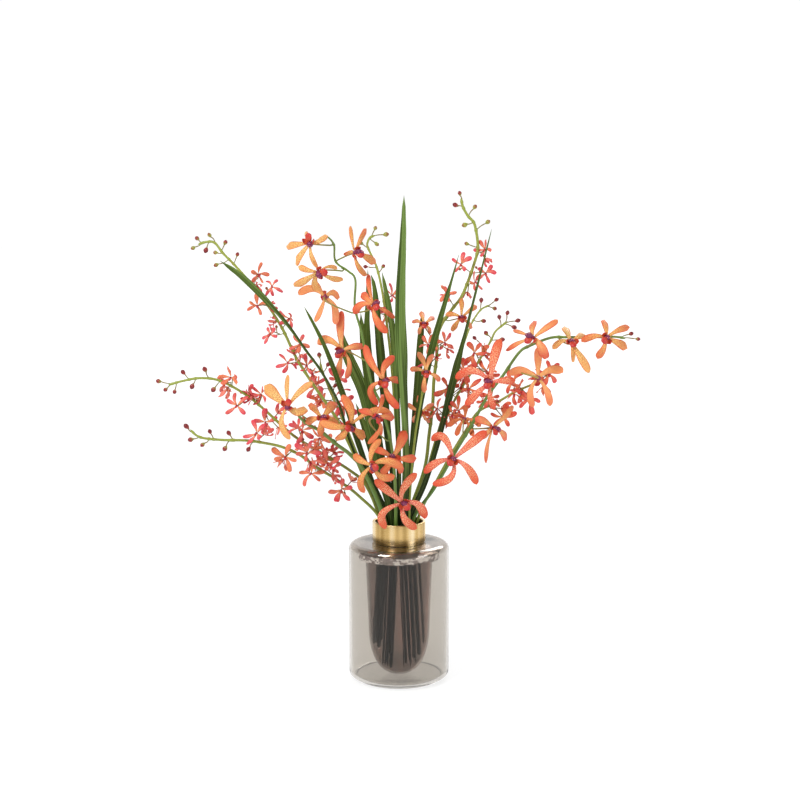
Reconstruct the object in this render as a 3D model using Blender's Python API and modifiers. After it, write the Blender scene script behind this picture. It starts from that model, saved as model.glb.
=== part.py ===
"""Cut vanda orchid: flowering sprays and strap leaves in a double-walled glass vase.

Metres, +Z up. The origin is the middle of the vase's foot, and the front is -Y.
Places on the plant are listed in millimetres and multiplied by MM where they are used.
"""
import math
import random

import bmesh
import bpy
from mathutils import Vector

MM = 0.001
OBJECT_NAME = "vanda_orchid_in_vase"
FIT_GAP = 0.3 * MM
FRONT = Vector((0.0, -1.0, 0.0))
DOWN = Vector((0.0, 0.0, -1.0))

# Outer glass of the vase
BODY_RADIUS = 75 * MM
SHOULDER_HEIGHT = 207 * MM
GLASS_WALL = 3.5 * MM
GLASS_FLOOR = 5 * MM
FOOT_RADIUS = 64 * MM
FOOT_STEP = 3 * MM
SHOULDER_FILLET = 10.5 * MM
HEEL_FILLET = 9 * MM
FLOOR_FILLET = 9 * MM
CEILING_FILLET = 7 * MM
OUTER_FILLET_STEPS = 3
INNER_FILLET_STEPS = 3
MOUTH_RADIUS = 35 * MM
TURN_STEPS = 24

# Inner smoked vessel, hung under the shoulder
VESSEL_BOTTOM = 5.4 * MM
VESSEL_WAIST = 88 * MM
VESSEL_FULLNESS = 2.5
VESSEL_RADIUS = 46 * MM
VESSEL_TOP_RADIUS = 50 * MM
VESSEL_WALL = 2.5 * MM
BRIM_RADIUS = 62 * MM
BRIM_TOP = 196 * MM
BRIM_BOTTOM = 184 * MM
BRIM_CHAMFER = 1.5 * MM
VESSEL_MOUTH = 34.5 * MM
VESSEL_MOUTH_LAND = 3.5 * MM
VESSEL_NECK_DROP = 6 * MM
BULLET_POINTS = 6
VESSEL_STEPS = 20

# Brass collar on the shoulder
COLLAR_RADIUS = 39.5 * MM
COLLAR_BORE = 35.5 * MM
COLLAR_HEIGHT = 32 * MM
COLLAR_CHAMFER = 1.0 * MM
COLLAR_GROOVE = 2.0 * MM
COLLAR_GROOVE_DEPTH = 1.2 * MM

# How stems and leaves pass the neck: upright between these two heights
NECK_TOP = 243 * MM
NECK_BOTTOM = 199 * MM
FOOT_SPREAD = 1.3
FOOT_CLEARANCE = 0.6 * MM

# Stems: radius at the tip and at the foot, and the longest straight run of the model
LARGE_STEM = (1.5 * MM, 3.0 * MM)
SMALL_STEM = (0.9 * MM, 1.9 * MM)
LONGEST_RUN = 55 * MM
PEDICEL_RADIUS = 1.1 * MM
SMALL_PEDICEL_RADIUS = 0.7 * MM
PEDICEL_LEAD = 16 * MM
PEDICEL_FOOT_GAP = 0.45 * MM
PEDICEL_FOOT_RUN = 3 * MM
PEDICEL_APPROACH = 0.4
SMALL_PEDICEL_LEAD = 7 * MM
SMALL_PEDICEL_APPROACH = 6 * MM

# Blooms and buds
PETAL_REACH = 46 * MM
PETAL_THICKNESS = 1.5 * MM
PETAL_RINGS = 4
STAR_PETAL_RINGS = 3
PETAL_START = 0.7
PETAL_ARCH = 0.22
PETAL_SWEEP_BACK = 0.45
PETAL_CURL_BACK = 2 * MM
PETAL_LINE_STEPS = 8
STEEPEST_FACE = 0.55
LARGE_PETAL_WIDTH = 11.5 * MM
STAR_PETAL_WIDTH = 8 * MM
STAR_SCALE = 0.75
COLUMN_RADIUS = 4.2 * MM
COLUMN_LENGTH = 11 * MM
LIP_LENGTH = 11 * MM
LIP_WIDTH = 9 * MM
LIP_THICKNESS = 2 * MM
LIP_REACH = (0.8, 0.7)
SMALL_BLOOM_RADIUS = 15 * MM
SMALL_HEART = 2.6 * MM
SMALL_BLOOM_BEND = 3.5 * MM
STAR_NOTCH = 0.25
STAR_TIP_HALF_ANGLE = math.radians(11)
BUD_SIZE = (9 * MM, 3.1 * MM)
LEAF_THICKNESS = 1.6 * MM
LEAF_RINGS = 11

# Every stem: kind, neck slot (x, y), and its route from the tip down to the neck.
STEMS = {
    "spray_a": ("large", (-4, -15), [
        (-102, -62, 662), (-92, -61, 650), (-90, -59, 626), (-72, -57, 612), (-62, -56, 600),
        (-63, -52, 561), (-54, -49, 525), (-47, -46, 487), (-39, -43, 448), (-27, -41, 422),
        (-20, -39, 396), (-12, -36, 364), (-7, -32, 320)]),
    "spray_b": ("large", (21, -13), [
        (325, -50, 515), (310, -50, 518), (267, -47, 517), (241, -45, 517), (218, -44, 516),
        (188, -41, 504), (173, -40, 494), (150, -37, 460), (129, -35, 431), (104, -31, 384),
        (83, -28, 348), (53, -24, 294)]),
    "spray_c": ("large", (-21, -18), [
        (-144, -85, 410), (-131, -78, 396), (-112, -69, 384), (-91, -59, 364), (-70, -49, 346),
        (-50, -38, 318)]),
    "spray_d": ("large", (-5, -26), [
        (-16, -78, 388), (-11, -73, 364), (-7, -62, 330), (-5, -48, 290)]),
    "spray_e": ("small", (-26, 11), [
        (-303, 75, 646), (-290, 73, 650), (-277, 72, 649), (-265, 69, 634), (-250, 67, 619),
        (-228, 63, 595), (-207, 58, 570), (-177, 52, 525), (-153, 45, 476), (-123, 38, 430),
        (-97, 32, 393), (-69, 24, 338), (-49, 18, 292)]),
    "spray_f": ("small", (-30, 0), [
        (-338, -15, 444), (-316, -14, 450), (-291, -13, 454), (-262, -12, 450),
        (-226, -10, 430), (-199, -9, 408), (-158, -7, 370), (-128, -6, 350), (-74, -3, 316),
        (-49, -1, 292)]),
    "spray_g": ("small", (-28, -10), [
        (-299, -70, 387), (-286, -66, 375), (-256, -60, 370), (-220, -53, 368),
        (-193, -47, 363), (-170, -43, 357), (-146, -37, 345), (-119, -31, 324),
        (-88, -24, 303), (-60, -17, 280)]),
    "spray_h": ("small", (14, 11), [
        (92, 50, 716), (95, 49, 702), (103, 47, 688), (112, 46, 677), (117, 43, 645),
        (112, 41, 620), (95, 37, 574), (80, 35, 553), (65, 33, 532), (57, 31, 510),
        (56, 28, 479), (52, 25, 447), (50, 22, 407), (45, 18, 366), (38, 15, 314)]),
    "spray_i": ("small", (14, 20), [
        (141, 110, 553), (127, 106, 547), (117, 102, 535), (109, 97, 521), (99, 90, 495),
        (82, 76, 448), (71, 64, 404), (53, 47, 345), (36, 32, 290)]),
    "spray_j": ("small", (23, 9), [
        (161, 20, 535), (152, 20, 528), (142, 19, 519), (135, 19, 504), (119, 18, 477),
        (85, 16, 422), (66, 15, 380), (48, 13, 328), (36, 12, 292)]),
    "spray_k": ("small", (29, 3), [
        (215, -10, 452), (173, -6, 434), (145, -2, 417), (117, 2, 402), (99, 4, 374),
        (78, 4, 339), (56, 4, 298)]),
    "spray_l": ("small", (3, 11), [
        (-35, 85, 660), (-44, 83, 656), (-48, 81, 647), (-46, 80, 639), (-34, 75, 613),
        (-26, 68, 580), (-20, 61, 541), (-12, 49, 474), (-6, 36, 400), (-1, 22, 326)]),
    "spray_m": ("small", (-19, 20), [
        (-123, 125, 463), (-116, 115, 442), (-100, 98, 407), (-78, 76, 361), (-59, 54, 318),
        (-40, 36, 280)]),
    "spray_n": ("small", (15, -19), [
        (36, -48, 452), (31, -47, 420), (24, -44, 378), (19, -38, 325), (16, -28, 280)]),
}

# Large blooms: spray, middle, yaw and pitch of the face in degrees, and the petals: the
# place halfway along and the tip, each (right, up) from the middle as seen from the front.
LARGE_BLOOMS = {
    "bloom_01": ("spray_a", (-124, -78, 653), -25, 15,
                 [(-19, -4, -36, -6), (-13, -19, -22, -31), (13, 2, 20, 11), (-5, 8, -9, 14),
                  (3, -15, 8, -28)]),
    "bloom_02": ("spray_a", (-112, -95, 613), 10, -10,
                 [(-16, 3, -29, 7), (-18, -10, -35, -21), (13, 7, 25, 3), (16, -8, 33, -13),
                  (-6, -14, -2, -28)]),
    "bloom_03": ("spray_a", (-107, -22, 573), 160, 10,
                 [(-21, 11, -38, 3), (-8, 12, -12, 26), (11, 6, 22, 1), (-7, -17, -14, -36),
                  (12, -16, 15, -39)]),
    "bloom_04": ("spray_a", (-62, -82, 639), 20, 5,
                 [(-5, 18, -6, 37), (6, 16, 16, 33), (-6, 0, -12, -5), (14, -6, 29, -16),
                  (4, -19, 17, -32)]),
    "bloom_05": ("spray_a", (-35, -85, 565), -10, 20,
                 [(-6, 23, -8, 43), (-17, 0, -29, -13), (4, -20, 19, -38), (14, -7, 29, -18),
                  (-9, 8, -18, 16)]),
    "bloom_06": ("spray_a", (-82, -20, 495), -20, 0,
                 [(-1, 29, -2, 58), (-20, 15, -38, 7), (17, 6, 31, 3), (-3, -20, -9, -39),
                  (11, -19, 3, -42)]),
    "bloom_07": ("spray_a", (-20, -74, 457), -15, 10,
                 [(-18, 25, -29, 50), (0, 18, 14, 34), (-19, -13, -10, -36), (6, -20, 20, -39),
                  (11, 2, 22, -5)]),
    "bloom_08": ("spray_c", (-156, -105, 424), -20, 15,
                 [(-17, 14, -35, 27), (0, 21, -2, 43), (18, 20, 35, 35), (13, -6, 22, -1),
                  (-7, -23, 3, -45)]),
    "bloom_09": ("spray_c", (-109, -92, 406), 15, 25,
                 [(-9, 9, -17, 19), (8, 9, 16, 19), (11, -3, 22, -8), (-12, -2, -24, -8),
                  (-2, -13, 0, -26)]),
    "bloom_10": ("spray_c", (-70, -98, 396), 25, 10,
                 [(-20, 0, -41, 7), (0, 21, -10, 43), (33, 19, 62, 9), (12, -11, 22, -20),
                  (-10, -13, -18, -22)]),
    "bloom_11": ("spray_d", (-34, -122, 412), 55, 10,
                 [(14, -3, 27, -9), (3, -18, -9, -36), (5, 13, 12, 26), (-11, 8, -22, 12),
                  (6, -14, 10, -28)]),
    "bloom_12": ("spray_d", (-37, -120, 343), -15, -5,
                 [(0, 20, 12, 36), (-14, 6, -28, 11), (-15, -20, -12, -42), (20, 8, 42, -4),
                  (14, -15, 31, -16)]),
    "bloom_13": ("spray_d", (-9, -98, 350), 20, 15,
                 [(9, 17, 19, 35), (-12, 7, -25, 12), (17, -3, 34, -5), (-8, -12, -14, -24),
                  (8, -12, 14, -24)]),
    "bloom_14": ("spray_d", (6, -88, 283), 5, 0,
                 [(-22, 19, -41, 34), (0, 21, 20, 42), (-29, -14, -24, -38), (2, -22, 20, -39),
                  (21, -3, 31, -26)]),
    "bloom_15": ("spray_b", (78, -68, 343), 0, 10,
                 [(-14, 30, -31, 24), (23, 20, 48, 40), (-24, -5, -42, -20),
                  (-4, -25, -30, -35), (20, -12, 34, -36)]),
    "bloom_16": ("spray_b", (130, -80, 456), -10, 10,
                 [(5, 30, 14, 61), (-25, 15, -49, 3), (18, 2, 36, 1), (-17, -15, -36, -34),
                  (0, -20, 6, -40)]),
    "bloom_17": ("spray_b", (190, -80, 519), -30, 15,
                 [(17, 12, 34, 26), (0, 12, 3, 22), (-18, -9, -37, -20), (12, -13, 16, -30),
                  (-13, 5, -26, 8)]),
    "bloom_18": ("spray_b", (199, -62, 460), 175, -10,
                 [(0, 23, 0, 45), (-23, 11, -41, 5), (18, 12, 34, 10), (-11, -19, -8, -40),
                  (12, -18, 16, -38)]),
    "bloom_19": ("spray_b", (244, -74, 512), 10, 30,
                 [(-14, 0, -25, -10), (2, -14, 5, -28), (11, -21, 25, -41), (-4, 10, -6, 20),
                  (12, 6, 24, 8)]),
    "bloom_20": ("spray_b", (293, -76, 519), 15, 5,
                 [(0, 12, 0, 24), (18, 10, 37, 13), (17, -8, 34, -17), (-4, -15, -10, -31),
                  (-18, 2, -34, -6)]),
    "bloom_21": ("spray_b", (136, -44, 385), 35, 10,
                 [(16, 15, 33, 25), (-12, -26, -10, -49), (-13, 9, -26, 14),
                  (-13, -8, -24, -18), (12, -9, 22, -22)]),
    "bloom_22": ("spray_h", (92, 12, 541), 10, 10,
                 [(0, 14, 2, 27), (13, 10, 24, 15), (9, -8, 17, -17), (-8, -10, -12, -22),
                  (-12, 4, -23, 3)]),
    "bloom_23": ("spray_n", (39, -66, 468), 0, 15,
                 [(-4, 14, -12, 27), (3, 13, 10, 24), (-12, 4, -23, 2), (-3, -15, -2, -30),
                  (12, -5, 20, -14)]),
    "bloom_24": ("spray_b", (96, -12, 393), 170, 0,
                 [(-13, -2, -25, -9), (12, -1, 23, -7), (1, 12, 0, 24), (-7, -10, -12, -22),
                  (7, -10, 12, -22)]),
    "bloom_25": ("spray_h", (32, -2, 402), -20, 0,
                 [(-10, 5, -20, 8), (-1, 11, -4, 22), (10, 7, 18, 12), (-7, -8, -12, -18),
                  (7, -8, 12, -18)]),
    "bloom_26": ("spray_h", (37, 14, 531), 0, 20,
                 [(-9, 3, -17, 3), (-2, 9, -4, 17), (8, 5, 15, 9), (-5, -7, -9, -15),
                  (6, -6, 11, -14)]),
}
SMALL_STARS = ("bloom_22", "bloom_23", "bloom_24", "bloom_25", "bloom_26")

# Buds and small blooms of each fine spray: (right, up) places, taken at the stem's depth
BUDS = {
    "spray_b": [(333, 522), (342, 515)],
    "spray_e": [(-310, 641), (-304, 655), (-284, 660), (-290, 638), (-276, 634), (-261, 649),
                (-274, 616), (-243, 631)],
    "spray_f": [(-352, 449), (-342, 437), (-329, 434), (-316, 462), (-303, 442), (-283, 467),
                (-272, 437)],
    "spray_g": [(-304, 391), (-299, 371), (-282, 364), (-271, 383), (-245, 379), (-251, 357),
                (-217, 356)],
    "spray_h": [(90, 722), (84, 705), (112, 702), (98, 676), (131, 680), (101, 648)],
    "spray_i": [(149, 561), (126, 560), (147, 547), (129, 529)],
    "spray_j": [(160, 547), (175, 536), (170, 526), (148, 541), (129, 517), (112, 510),
                (152, 508)],
    "spray_l": [(-36, 670), (-20, 661), (-57, 648), (-34, 647), (-24, 613), (-50, 613)],
    "spray_m": [(-137, 451), (-124, 473), (-110, 460), (-99, 428)],
}
SMALL_BLOOMS = {
    "spray_e": [(-210, 603), (-190, 584), (-212, 556), (-164, 537), (-192, 513), (-148, 500),
                (-168, 470), (-138, 466)],
    "spray_f": [(-245, 456), (-237, 414), (-203, 429), (-197, 388), (-142, 378), (-116, 366),
                (-110, 332)],
    "spray_g": [(-204, 380), (-165, 343), (-133, 350), (-128, 316), (-104, 332), (-85, 290)],
    "spray_h": [(128, 640), (92, 618), (112, 592), (128, 606), (69, 577), (44, 500),
                (68, 502), (40, 474)],
    "spray_j": [(112, 488), (130, 462), (96, 462), (104, 436), (72, 436), (88, 404),
                (58, 404)],
    "spray_k": [(135, 426), (152, 397), (168, 448), (192, 424), (218, 462)],
    "spray_l": [(-11, 570), (-36, 548)],
    "spray_m": [(-129, 427), (-92, 438), (-122, 404), (-84, 400), (-102, 378)],
}
BLOOM_DEPTHS = (-16, 8)
BUD_DEPTHS = (-6, 6)

# Strap leaves: slot (x, y), widest, twist in degrees at foot and tip, route from the tip
LEAVES = {
    "leaf_01": ((7, -24), 18, (0, 8), [
        (7, -125, 719), (6, -117, 672), (2, -100, 574), (3, -89, 503), (7, -77, 430),
        (10, -64, 356), (9, -52, 305)]),
    "leaf_02": ((-15, 3), 12, (30, -20), [
        (-264, 15, 625), (-225, 14, 596), (-171, 12, 539), (-137, 11, 492), (-114, 10, 460),
        (-89, 8, 413), (-73, 7, 359), (-50, 6, 305)]),
    "leaf_03": ((-16, -8), 9, (0, 30), [
        (-138, -25, 561), (-115, -23, 517), (-99, -21, 479), (-79, -19, 422), (-62, -16, 365),
        (-40, -12, 300)]),
    "leaf_04": ((17, -3), 15, (0, 25), [
        (135, 0, 672), (123, -1, 623), (100, -2, 531), (85, -2, 472), (71, -3, 413),
        (56, -3, 353), (38, -3, 295)]),
    "leaf_05": ((9, -8), 12, (0, -15), [
        (87, -35, 639), (76, -33, 599), (51, -28, 511), (36, -25, 445), (25, -20, 378),
        (16, -15, 311)]),
    "leaf_06": ((10, 4), 10, (0, 20), [
        (35, 40, 547), (31, 34, 491), (27, 27, 431), (21, 19, 357), (15, 12, 297)]),
    "leaf_07": ((-3, 19), 12, (0, 15), [
        (-42, 36, 604), (-36, 37, 580), (-30, 37, 513), (-24, 35, 445), (-16, 30, 355),
        (-8, 25, 295)]),
    "leaf_08": ((0, 3), 9, (0, -25), [
        (-25, 10, 609), (-16, 9, 563), (-9, 8, 517), (-4, 6, 449), (-1, 4, 360),
        (0, 3, 300)]),
    "leaf_09": ((-8, 24), 10, (0, 20), [
        (-48, 120, 609), (-48, 109, 561), (-49, 94, 500), (-41, 73, 410), (-26, 51, 321),
        (-15, 38, 280)]),
    "leaf_10": ((-9, -2), 8, (0, 0), [
        (-56, 0, 550), (-53, 0, 509), (-46, -1, 450), (-33, -2, 360), (-19, -2, 295)]),
    "leaf_11": ((-11, 9), 15, (0, -15), [
        (-92, 25, 532), (-77, 21, 486), (-56, 17, 437), (-40, 14, 375), (-23, 11, 305)]),
    "leaf_12": ((-12, -15), 8, (0, 10), [
        (-63, -50, 424), (-51, -44, 389), (-36, -35, 336), (-22, -25, 290)]),
}

# Colours: base colour, roughness, metallic, alpha
FINISHES = {
    "clear_glass": ((0.80, 0.79, 0.77, 1.0), 0.05, 0.0, 0.35),
    "smoked_glass": ((0.22, 0.17, 0.16, 1.0), 0.08, 0.0, 0.75),
    "brass": ((0.80, 0.60, 0.28, 1.0), 0.28, 1.0, 1.0),
    "leaf_green": ((0.10, 0.19, 0.06, 1.0), 0.5, 0.0, 1.0),
    "stem_green": ((0.22, 0.30, 0.10, 1.0), 0.55, 0.0, 1.0),
    "petal_orange": ((0.85, 0.25, 0.09, 1.0), 0.6, 0.0, 1.0),
    "petal_pink": ((0.80, 0.16, 0.16, 1.0), 0.6, 0.0, 1.0),
}


def clear_scene():
    """Remove every object of the open scene."""
    for obj in list(bpy.data.objects):
        bpy.data.objects.remove(obj, do_unlink=True)


def new_collection(name):
    """A new collection in the scene."""
    collection = bpy.data.collections.new(name)
    bpy.context.scene.collection.children.link(collection)
    return collection


def finish_material(name):
    """The Principled material of one finish, made once."""
    if name in bpy.data.materials:
        return bpy.data.materials[name]
    colour, roughness, metallic, alpha = FINISHES[name]
    material = bpy.data.materials.new(name)
    material.use_nodes = True
    shader = material.node_tree.nodes["Principled BSDF"]
    shader.inputs["Base Color"].default_value = colour
    shader.inputs["Roughness"].default_value = roughness
    shader.inputs["Metallic"].default_value = metallic
    shader.inputs["Alpha"].default_value = alpha
    return material


def add_object(name, mesh, collection):
    """An object with this mesh, linked to a collection."""
    obj = bpy.data.objects.new(name, mesh)
    collection.objects.link(obj)
    return obj


def evaluated_mesh(obj):
    """The object's mesh with its modifiers or its curve bevel worked out."""
    bpy.context.view_layer.update()
    graph = bpy.context.evaluated_depsgraph_get()
    return bpy.data.meshes.new_from_object(obj.evaluated_get(graph))


def place(points):
    """Vectors in metres from places in millimetres."""
    return [Vector(point) * MM for point in points]


def fillet(corner, before, after, radius, steps):
    """Points of the arc that rounds a corner of a turned profile."""
    corner, before, after = Vector(corner), Vector(before), Vector(after)
    inward = (before - corner).normalized()
    outward = (after - corner).normalized()
    half_angle = inward.angle(outward) / 2
    centre = corner + (inward + outward).normalized() * radius / math.sin(half_angle)
    start = (corner + inward * radius / math.tan(half_angle) - centre).normalized()
    end = (corner + outward * radius / math.tan(half_angle) - centre).normalized()
    return [centre + start.slerp(end, step / steps) * radius for step in range(steps + 1)]


def turned(name, profile, closed, steps, material, collection):
    """A body turned about Z from a profile of (radius, height) points."""
    mesh = bpy.data.meshes.new(name)
    bm = bmesh.new()
    verts = [bm.verts.new((point[0], 0.0, point[1])) for point in profile]
    for first, second in zip(verts, verts[1:]):
        bm.edges.new((first, second))
    if closed:
        bm.edges.new((verts[-1], verts[0]))
    bm.to_mesh(mesh)
    bm.free()
    obj = add_object(name, mesh, collection)
    screw = obj.modifiers.new("turn", "SCREW")
    screw.steps = screw.render_steps = steps
    screw.use_merge_vertices = True
    screw.merge_threshold = 0.01 * MM
    mesh.materials.append(finish_material(material))
    return obj


def build_outer_glass(collection):
    """The clear cylinder: thick floor, small foot, rounded heel and shoulder, wide mouth."""
    inside = BODY_RADIUS - GLASS_WALL
    ceiling = SHOULDER_HEIGHT - GLASS_WALL
    floor_corner, ceiling_corner = (inside, GLASS_FLOOR), (inside, ceiling)
    shoulder, heel = (BODY_RADIUS, SHOULDER_HEIGHT), (BODY_RADIUS, FOOT_STEP)
    mouth_low, mouth_high = (MOUTH_RADIUS, ceiling), (MOUTH_RADIUS, SHOULDER_HEIGHT)
    floor_middle, foot_top = (0.0, GLASS_FLOOR), (FOOT_RADIUS, FOOT_STEP)
    profile = [floor_middle]
    profile += fillet(floor_corner, floor_middle, ceiling_corner, FLOOR_FILLET,
                      INNER_FILLET_STEPS)
    profile += fillet(ceiling_corner, floor_corner, mouth_low, CEILING_FILLET,
                      INNER_FILLET_STEPS)
    profile += [mouth_low, mouth_high]
    profile += fillet(shoulder, mouth_high, heel, SHOULDER_FILLET, OUTER_FILLET_STEPS)
    profile += fillet(heel, shoulder, foot_top, HEEL_FILLET, OUTER_FILLET_STEPS)
    profile += [foot_top, (FOOT_RADIUS, 0.0), (0.0, 0.0)]
    turned("outer_glass", profile, False, TURN_STEPS, "clear_glass", collection)


def bullet(radius, bottom):
    """Points of the vessel's rounded lower end, from its waist down to the axis.

    The curve is a superellipse, fuller than an ellipse by VESSEL_FULLNESS.
    """
    depth = VESSEL_WAIST - bottom
    power = 2 / VESSEL_FULLNESS
    points = []
    for step in range(BULLET_POINTS):
        angle = math.pi / 2 * step / BULLET_POINTS
        points.append((radius * math.cos(angle) ** power,
                       VESSEL_WAIST - depth * math.sin(angle) ** power))
    return points + [(0.0, bottom)]


def build_inner_vessel(collection):
    """The smoked bullet-shaped vessel, whose deep brim slopes up to its open mouth."""
    top = SHOULDER_HEIGHT - GLASS_WALL - FIT_GAP
    inside, brim_inside = VESSEL_TOP_RADIUS - VESSEL_WALL, BRIM_RADIUS - VESSEL_WALL
    profile = bullet(VESSEL_RADIUS - VESSEL_WALL, VESSEL_BOTTOM + VESSEL_WALL)[::-1]
    profile += [(inside, BRIM_BOTTOM - VESSEL_NECK_DROP), (inside, BRIM_BOTTOM),
                (brim_inside, BRIM_BOTTOM + VESSEL_WALL),
                (brim_inside, BRIM_TOP - VESSEL_WALL),
                (VESSEL_MOUTH, top - VESSEL_WALL), (VESSEL_MOUTH, top),
                (VESSEL_MOUTH + VESSEL_MOUTH_LAND, top),
                (BRIM_RADIUS - BRIM_CHAMFER, BRIM_TOP),
                (BRIM_RADIUS, BRIM_TOP - BRIM_CHAMFER),
                (BRIM_RADIUS, BRIM_BOTTOM + BRIM_CHAMFER),
                (BRIM_RADIUS - BRIM_CHAMFER, BRIM_BOTTOM),
                (VESSEL_TOP_RADIUS, BRIM_BOTTOM - VESSEL_NECK_DROP / 2)]
    profile += bullet(VESSEL_RADIUS, VESSEL_BOTTOM)
    turned("inner_vessel", profile, False, VESSEL_STEPS, "smoked_glass", collection)


def build_collar(collection):
    """The brass ring round the neck, grooved where it meets the glass."""
    low = SHOULDER_HEIGHT + FIT_GAP
    high = SHOULDER_HEIGHT + COLLAR_HEIGHT
    groove = COLLAR_RADIUS - COLLAR_GROOVE_DEPTH
    profile = [(COLLAR_BORE, low), (COLLAR_BORE, high - COLLAR_CHAMFER),
               (COLLAR_BORE + COLLAR_CHAMFER, high), (COLLAR_RADIUS - COLLAR_CHAMFER, high),
               (COLLAR_RADIUS, high - COLLAR_CHAMFER), (COLLAR_RADIUS, low + COLLAR_GROOVE),
               (groove, low + COLLAR_GROOVE), (groove, low)]
    turned("brass_collar", profile, True, TURN_STEPS, "brass", collection)


def vessel_floor_height(radius):
    """Height of the vessel's faceted inner surface at this distance from the axis."""
    radius /= math.cos(math.pi / VESSEL_STEPS)
    wall = bullet(VESSEL_RADIUS - VESSEL_WALL, VESSEL_BOTTOM + VESSEL_WALL)
    for (outer, high), (inner, low) in zip(wall, wall[1:]):
        if inner <= radius <= outer:
            return low + (high - low) * (radius - inner) / (outer - inner)
    return VESSEL_WAIST


def through_neck(route, slot, half_width):
    """A route in metres from its tip, down through its slot in the neck, to its foot."""
    slot = Vector((slot[0], slot[1], 0)) * MM
    foot = slot * FOOT_SPREAD
    height = vessel_floor_height(foot.length + half_width) + FOOT_CLEARANCE
    top, bottom = Vector((0, 0, NECK_TOP)), Vector((0, 0, NECK_BOTTOM))
    return place(route) + [slot + top, slot + bottom, foot + Vector((0, 0, height))]


def spline_point(points, index, part):
    """A point on the smooth curve through the points, part of the way after index."""
    last = len(points) - 1
    p0, p1 = points[max(index - 1, 0)], points[index]
    p2, p3 = points[min(index + 1, last)], points[min(index + 2, last)]
    square, cube = part * part, part ** 3
    return 0.5 * (2 * p1 + (p2 - p0) * part + (2 * p0 - 5 * p1 + 4 * p2 - p3) * square
                  + (3 * p1 - p0 - 3 * p2 + p3) * cube)


def smooth(points, longest=LONGEST_RUN):
    """The route with its long runs divided along a smooth curve."""
    result = []
    for index in range(len(points) - 1):
        run = (points[index + 1] - points[index]).length
        count = max(1, math.ceil(run / longest))
        result += [spline_point(points, index, step / count) for step in range(count)]
    return result + [points[-1]]


def lengths_along(points):
    """Distance of each point from the first along the route."""
    distances = [0.0]
    for first, second in zip(points, points[1:]):
        distances.append(distances[-1] + (second - first).length)
    return distances


def point_along(points, distance):
    """The point and direction at a distance from the first point of a route."""
    for first, second in zip(points, points[1:]):
        run = (second - first).length
        if distance <= run:
            return first.lerp(second, max(distance, 0.0) / run), (second - first).normalized()
        distance -= run
    return points[-1].copy(), (points[-1] - points[-2]).normalized()


def nearest_distance(points, target):
    """Distance along the route of its point nearest to the target."""
    best, where, walked = None, 0.0, 0.0
    for first, second in zip(points, points[1:]):
        run = second - first
        part = min(max((target - first).dot(run) / run.length_squared, 0.0), 1.0)
        miss = (first + run * part - target).length
        if best is None or miss < best:
            best, where = miss, walked + run.length * part
        walked += run.length
    return where


def tube(points, radii, resolution, collection):
    """A capped round tube through the points; resolution 0 has four sides and 1 has six."""
    curve = bpy.data.curves.new("tube", "CURVE")
    curve.dimensions = "3D"
    curve.bevel_depth = 1.0
    curve.bevel_resolution = resolution
    curve.use_fill_caps = True
    spline = curve.splines.new("POLY")
    spline.points.add(len(points) - 1)
    for knot, point, radius in zip(spline.points, points, radii):
        knot.co = (*point, 1.0)
        knot.radius = radius
    source = add_object("tube", curve, collection)
    mesh = evaluated_mesh(source)
    bpy.data.objects.remove(source)
    bm = bmesh.new()
    bm.from_mesh(mesh)
    bmesh.ops.remove_doubles(bm, verts=bm.verts, dist=0.01 * MM)
    bm.to_mesh(mesh)
    bm.free()
    return add_object("tube", mesh, collection)


def blade(line, face, width_at, thickness, rings, collection, lean=1.0, turn=None):
    """A thin leaf-like solid along a line of points.

    It starts as a four-sided sphere, whose poles become the root and the tip. width_at
    gives the full width at each part of the length, and turn the twist in degrees.
    """
    total = lengths_along(line)[-1]
    bm = bmesh.new()
    bmesh.ops.create_uvsphere(bm, u_segments=4, v_segments=rings, radius=1.0)
    for vert in bm.verts:
        ring = math.sqrt(max(1 - vert.co.z ** 2, 0.0))
        part = ((vert.co.z + 1) / 2) ** lean
        centre, along = point_along(line, total * part)
        side = along.cross(face).normalized()
        front = along.cross(side)
        if turn:
            angle = math.radians(turn[0] + (turn[1] - turn[0]) * part)
            side, front = (side * math.cos(angle) + front * math.sin(angle),
                           front * math.cos(angle) - side * math.sin(angle))
        across = vert.co.x / ring if ring > 0.01 else 0.0
        through = vert.co.y / ring if ring > 0.01 else 0.0
        vert.co = (centre + side * across * width_at(part) / 2
                   + front * through * thickness / 2)
    mesh = bpy.data.meshes.new("blade")
    bm.to_mesh(mesh)
    bm.free()
    return add_object("blade", mesh, collection)


def bead(centre, axis, length, radius, sides, rings, collection):
    """An egg-shaped solid, such as a bud or a column, along an axis."""
    bm = bmesh.new()
    bmesh.ops.create_uvsphere(bm, u_segments=sides, v_segments=rings, radius=1.0)
    turn = axis.to_track_quat("Z", "Y")
    for vert in bm.verts:
        local = Vector((vert.co.x * radius, vert.co.y * radius, vert.co.z * length / 2))
        vert.co = centre + turn @ local
    mesh = bpy.data.meshes.new("bead")
    bm.to_mesh(mesh)
    bm.free()
    return add_object("bead", mesh, collection)


def arc_line(start, control, end, count):
    """Points of a simple arc from start to end, drawn towards control."""
    parts = [step / count for step in range(count + 1)]
    return [start * (1 - t) ** 2 + control * 2 * t * (1 - t) + end * t * t for t in parts]


def fuse(name, base, repeats, material, collection):
    """Join the base with all solids of the repeats collection in one body."""
    if repeats.objects:
        union = base.modifiers.new("join", "BOOLEAN")
        union.operation = "UNION"
        union.operand_type = "COLLECTION"
        union.collection = repeats
        union.solver = "MANIFOLD"
    mesh = evaluated_mesh(base)
    mesh.name = name
    bpy.data.objects.remove(base)
    for obj in list(repeats.objects):
        bpy.data.objects.remove(obj)
    mesh.materials.clear()
    mesh.materials.append(finish_material(material))
    return add_object(name, mesh, collection)


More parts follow.
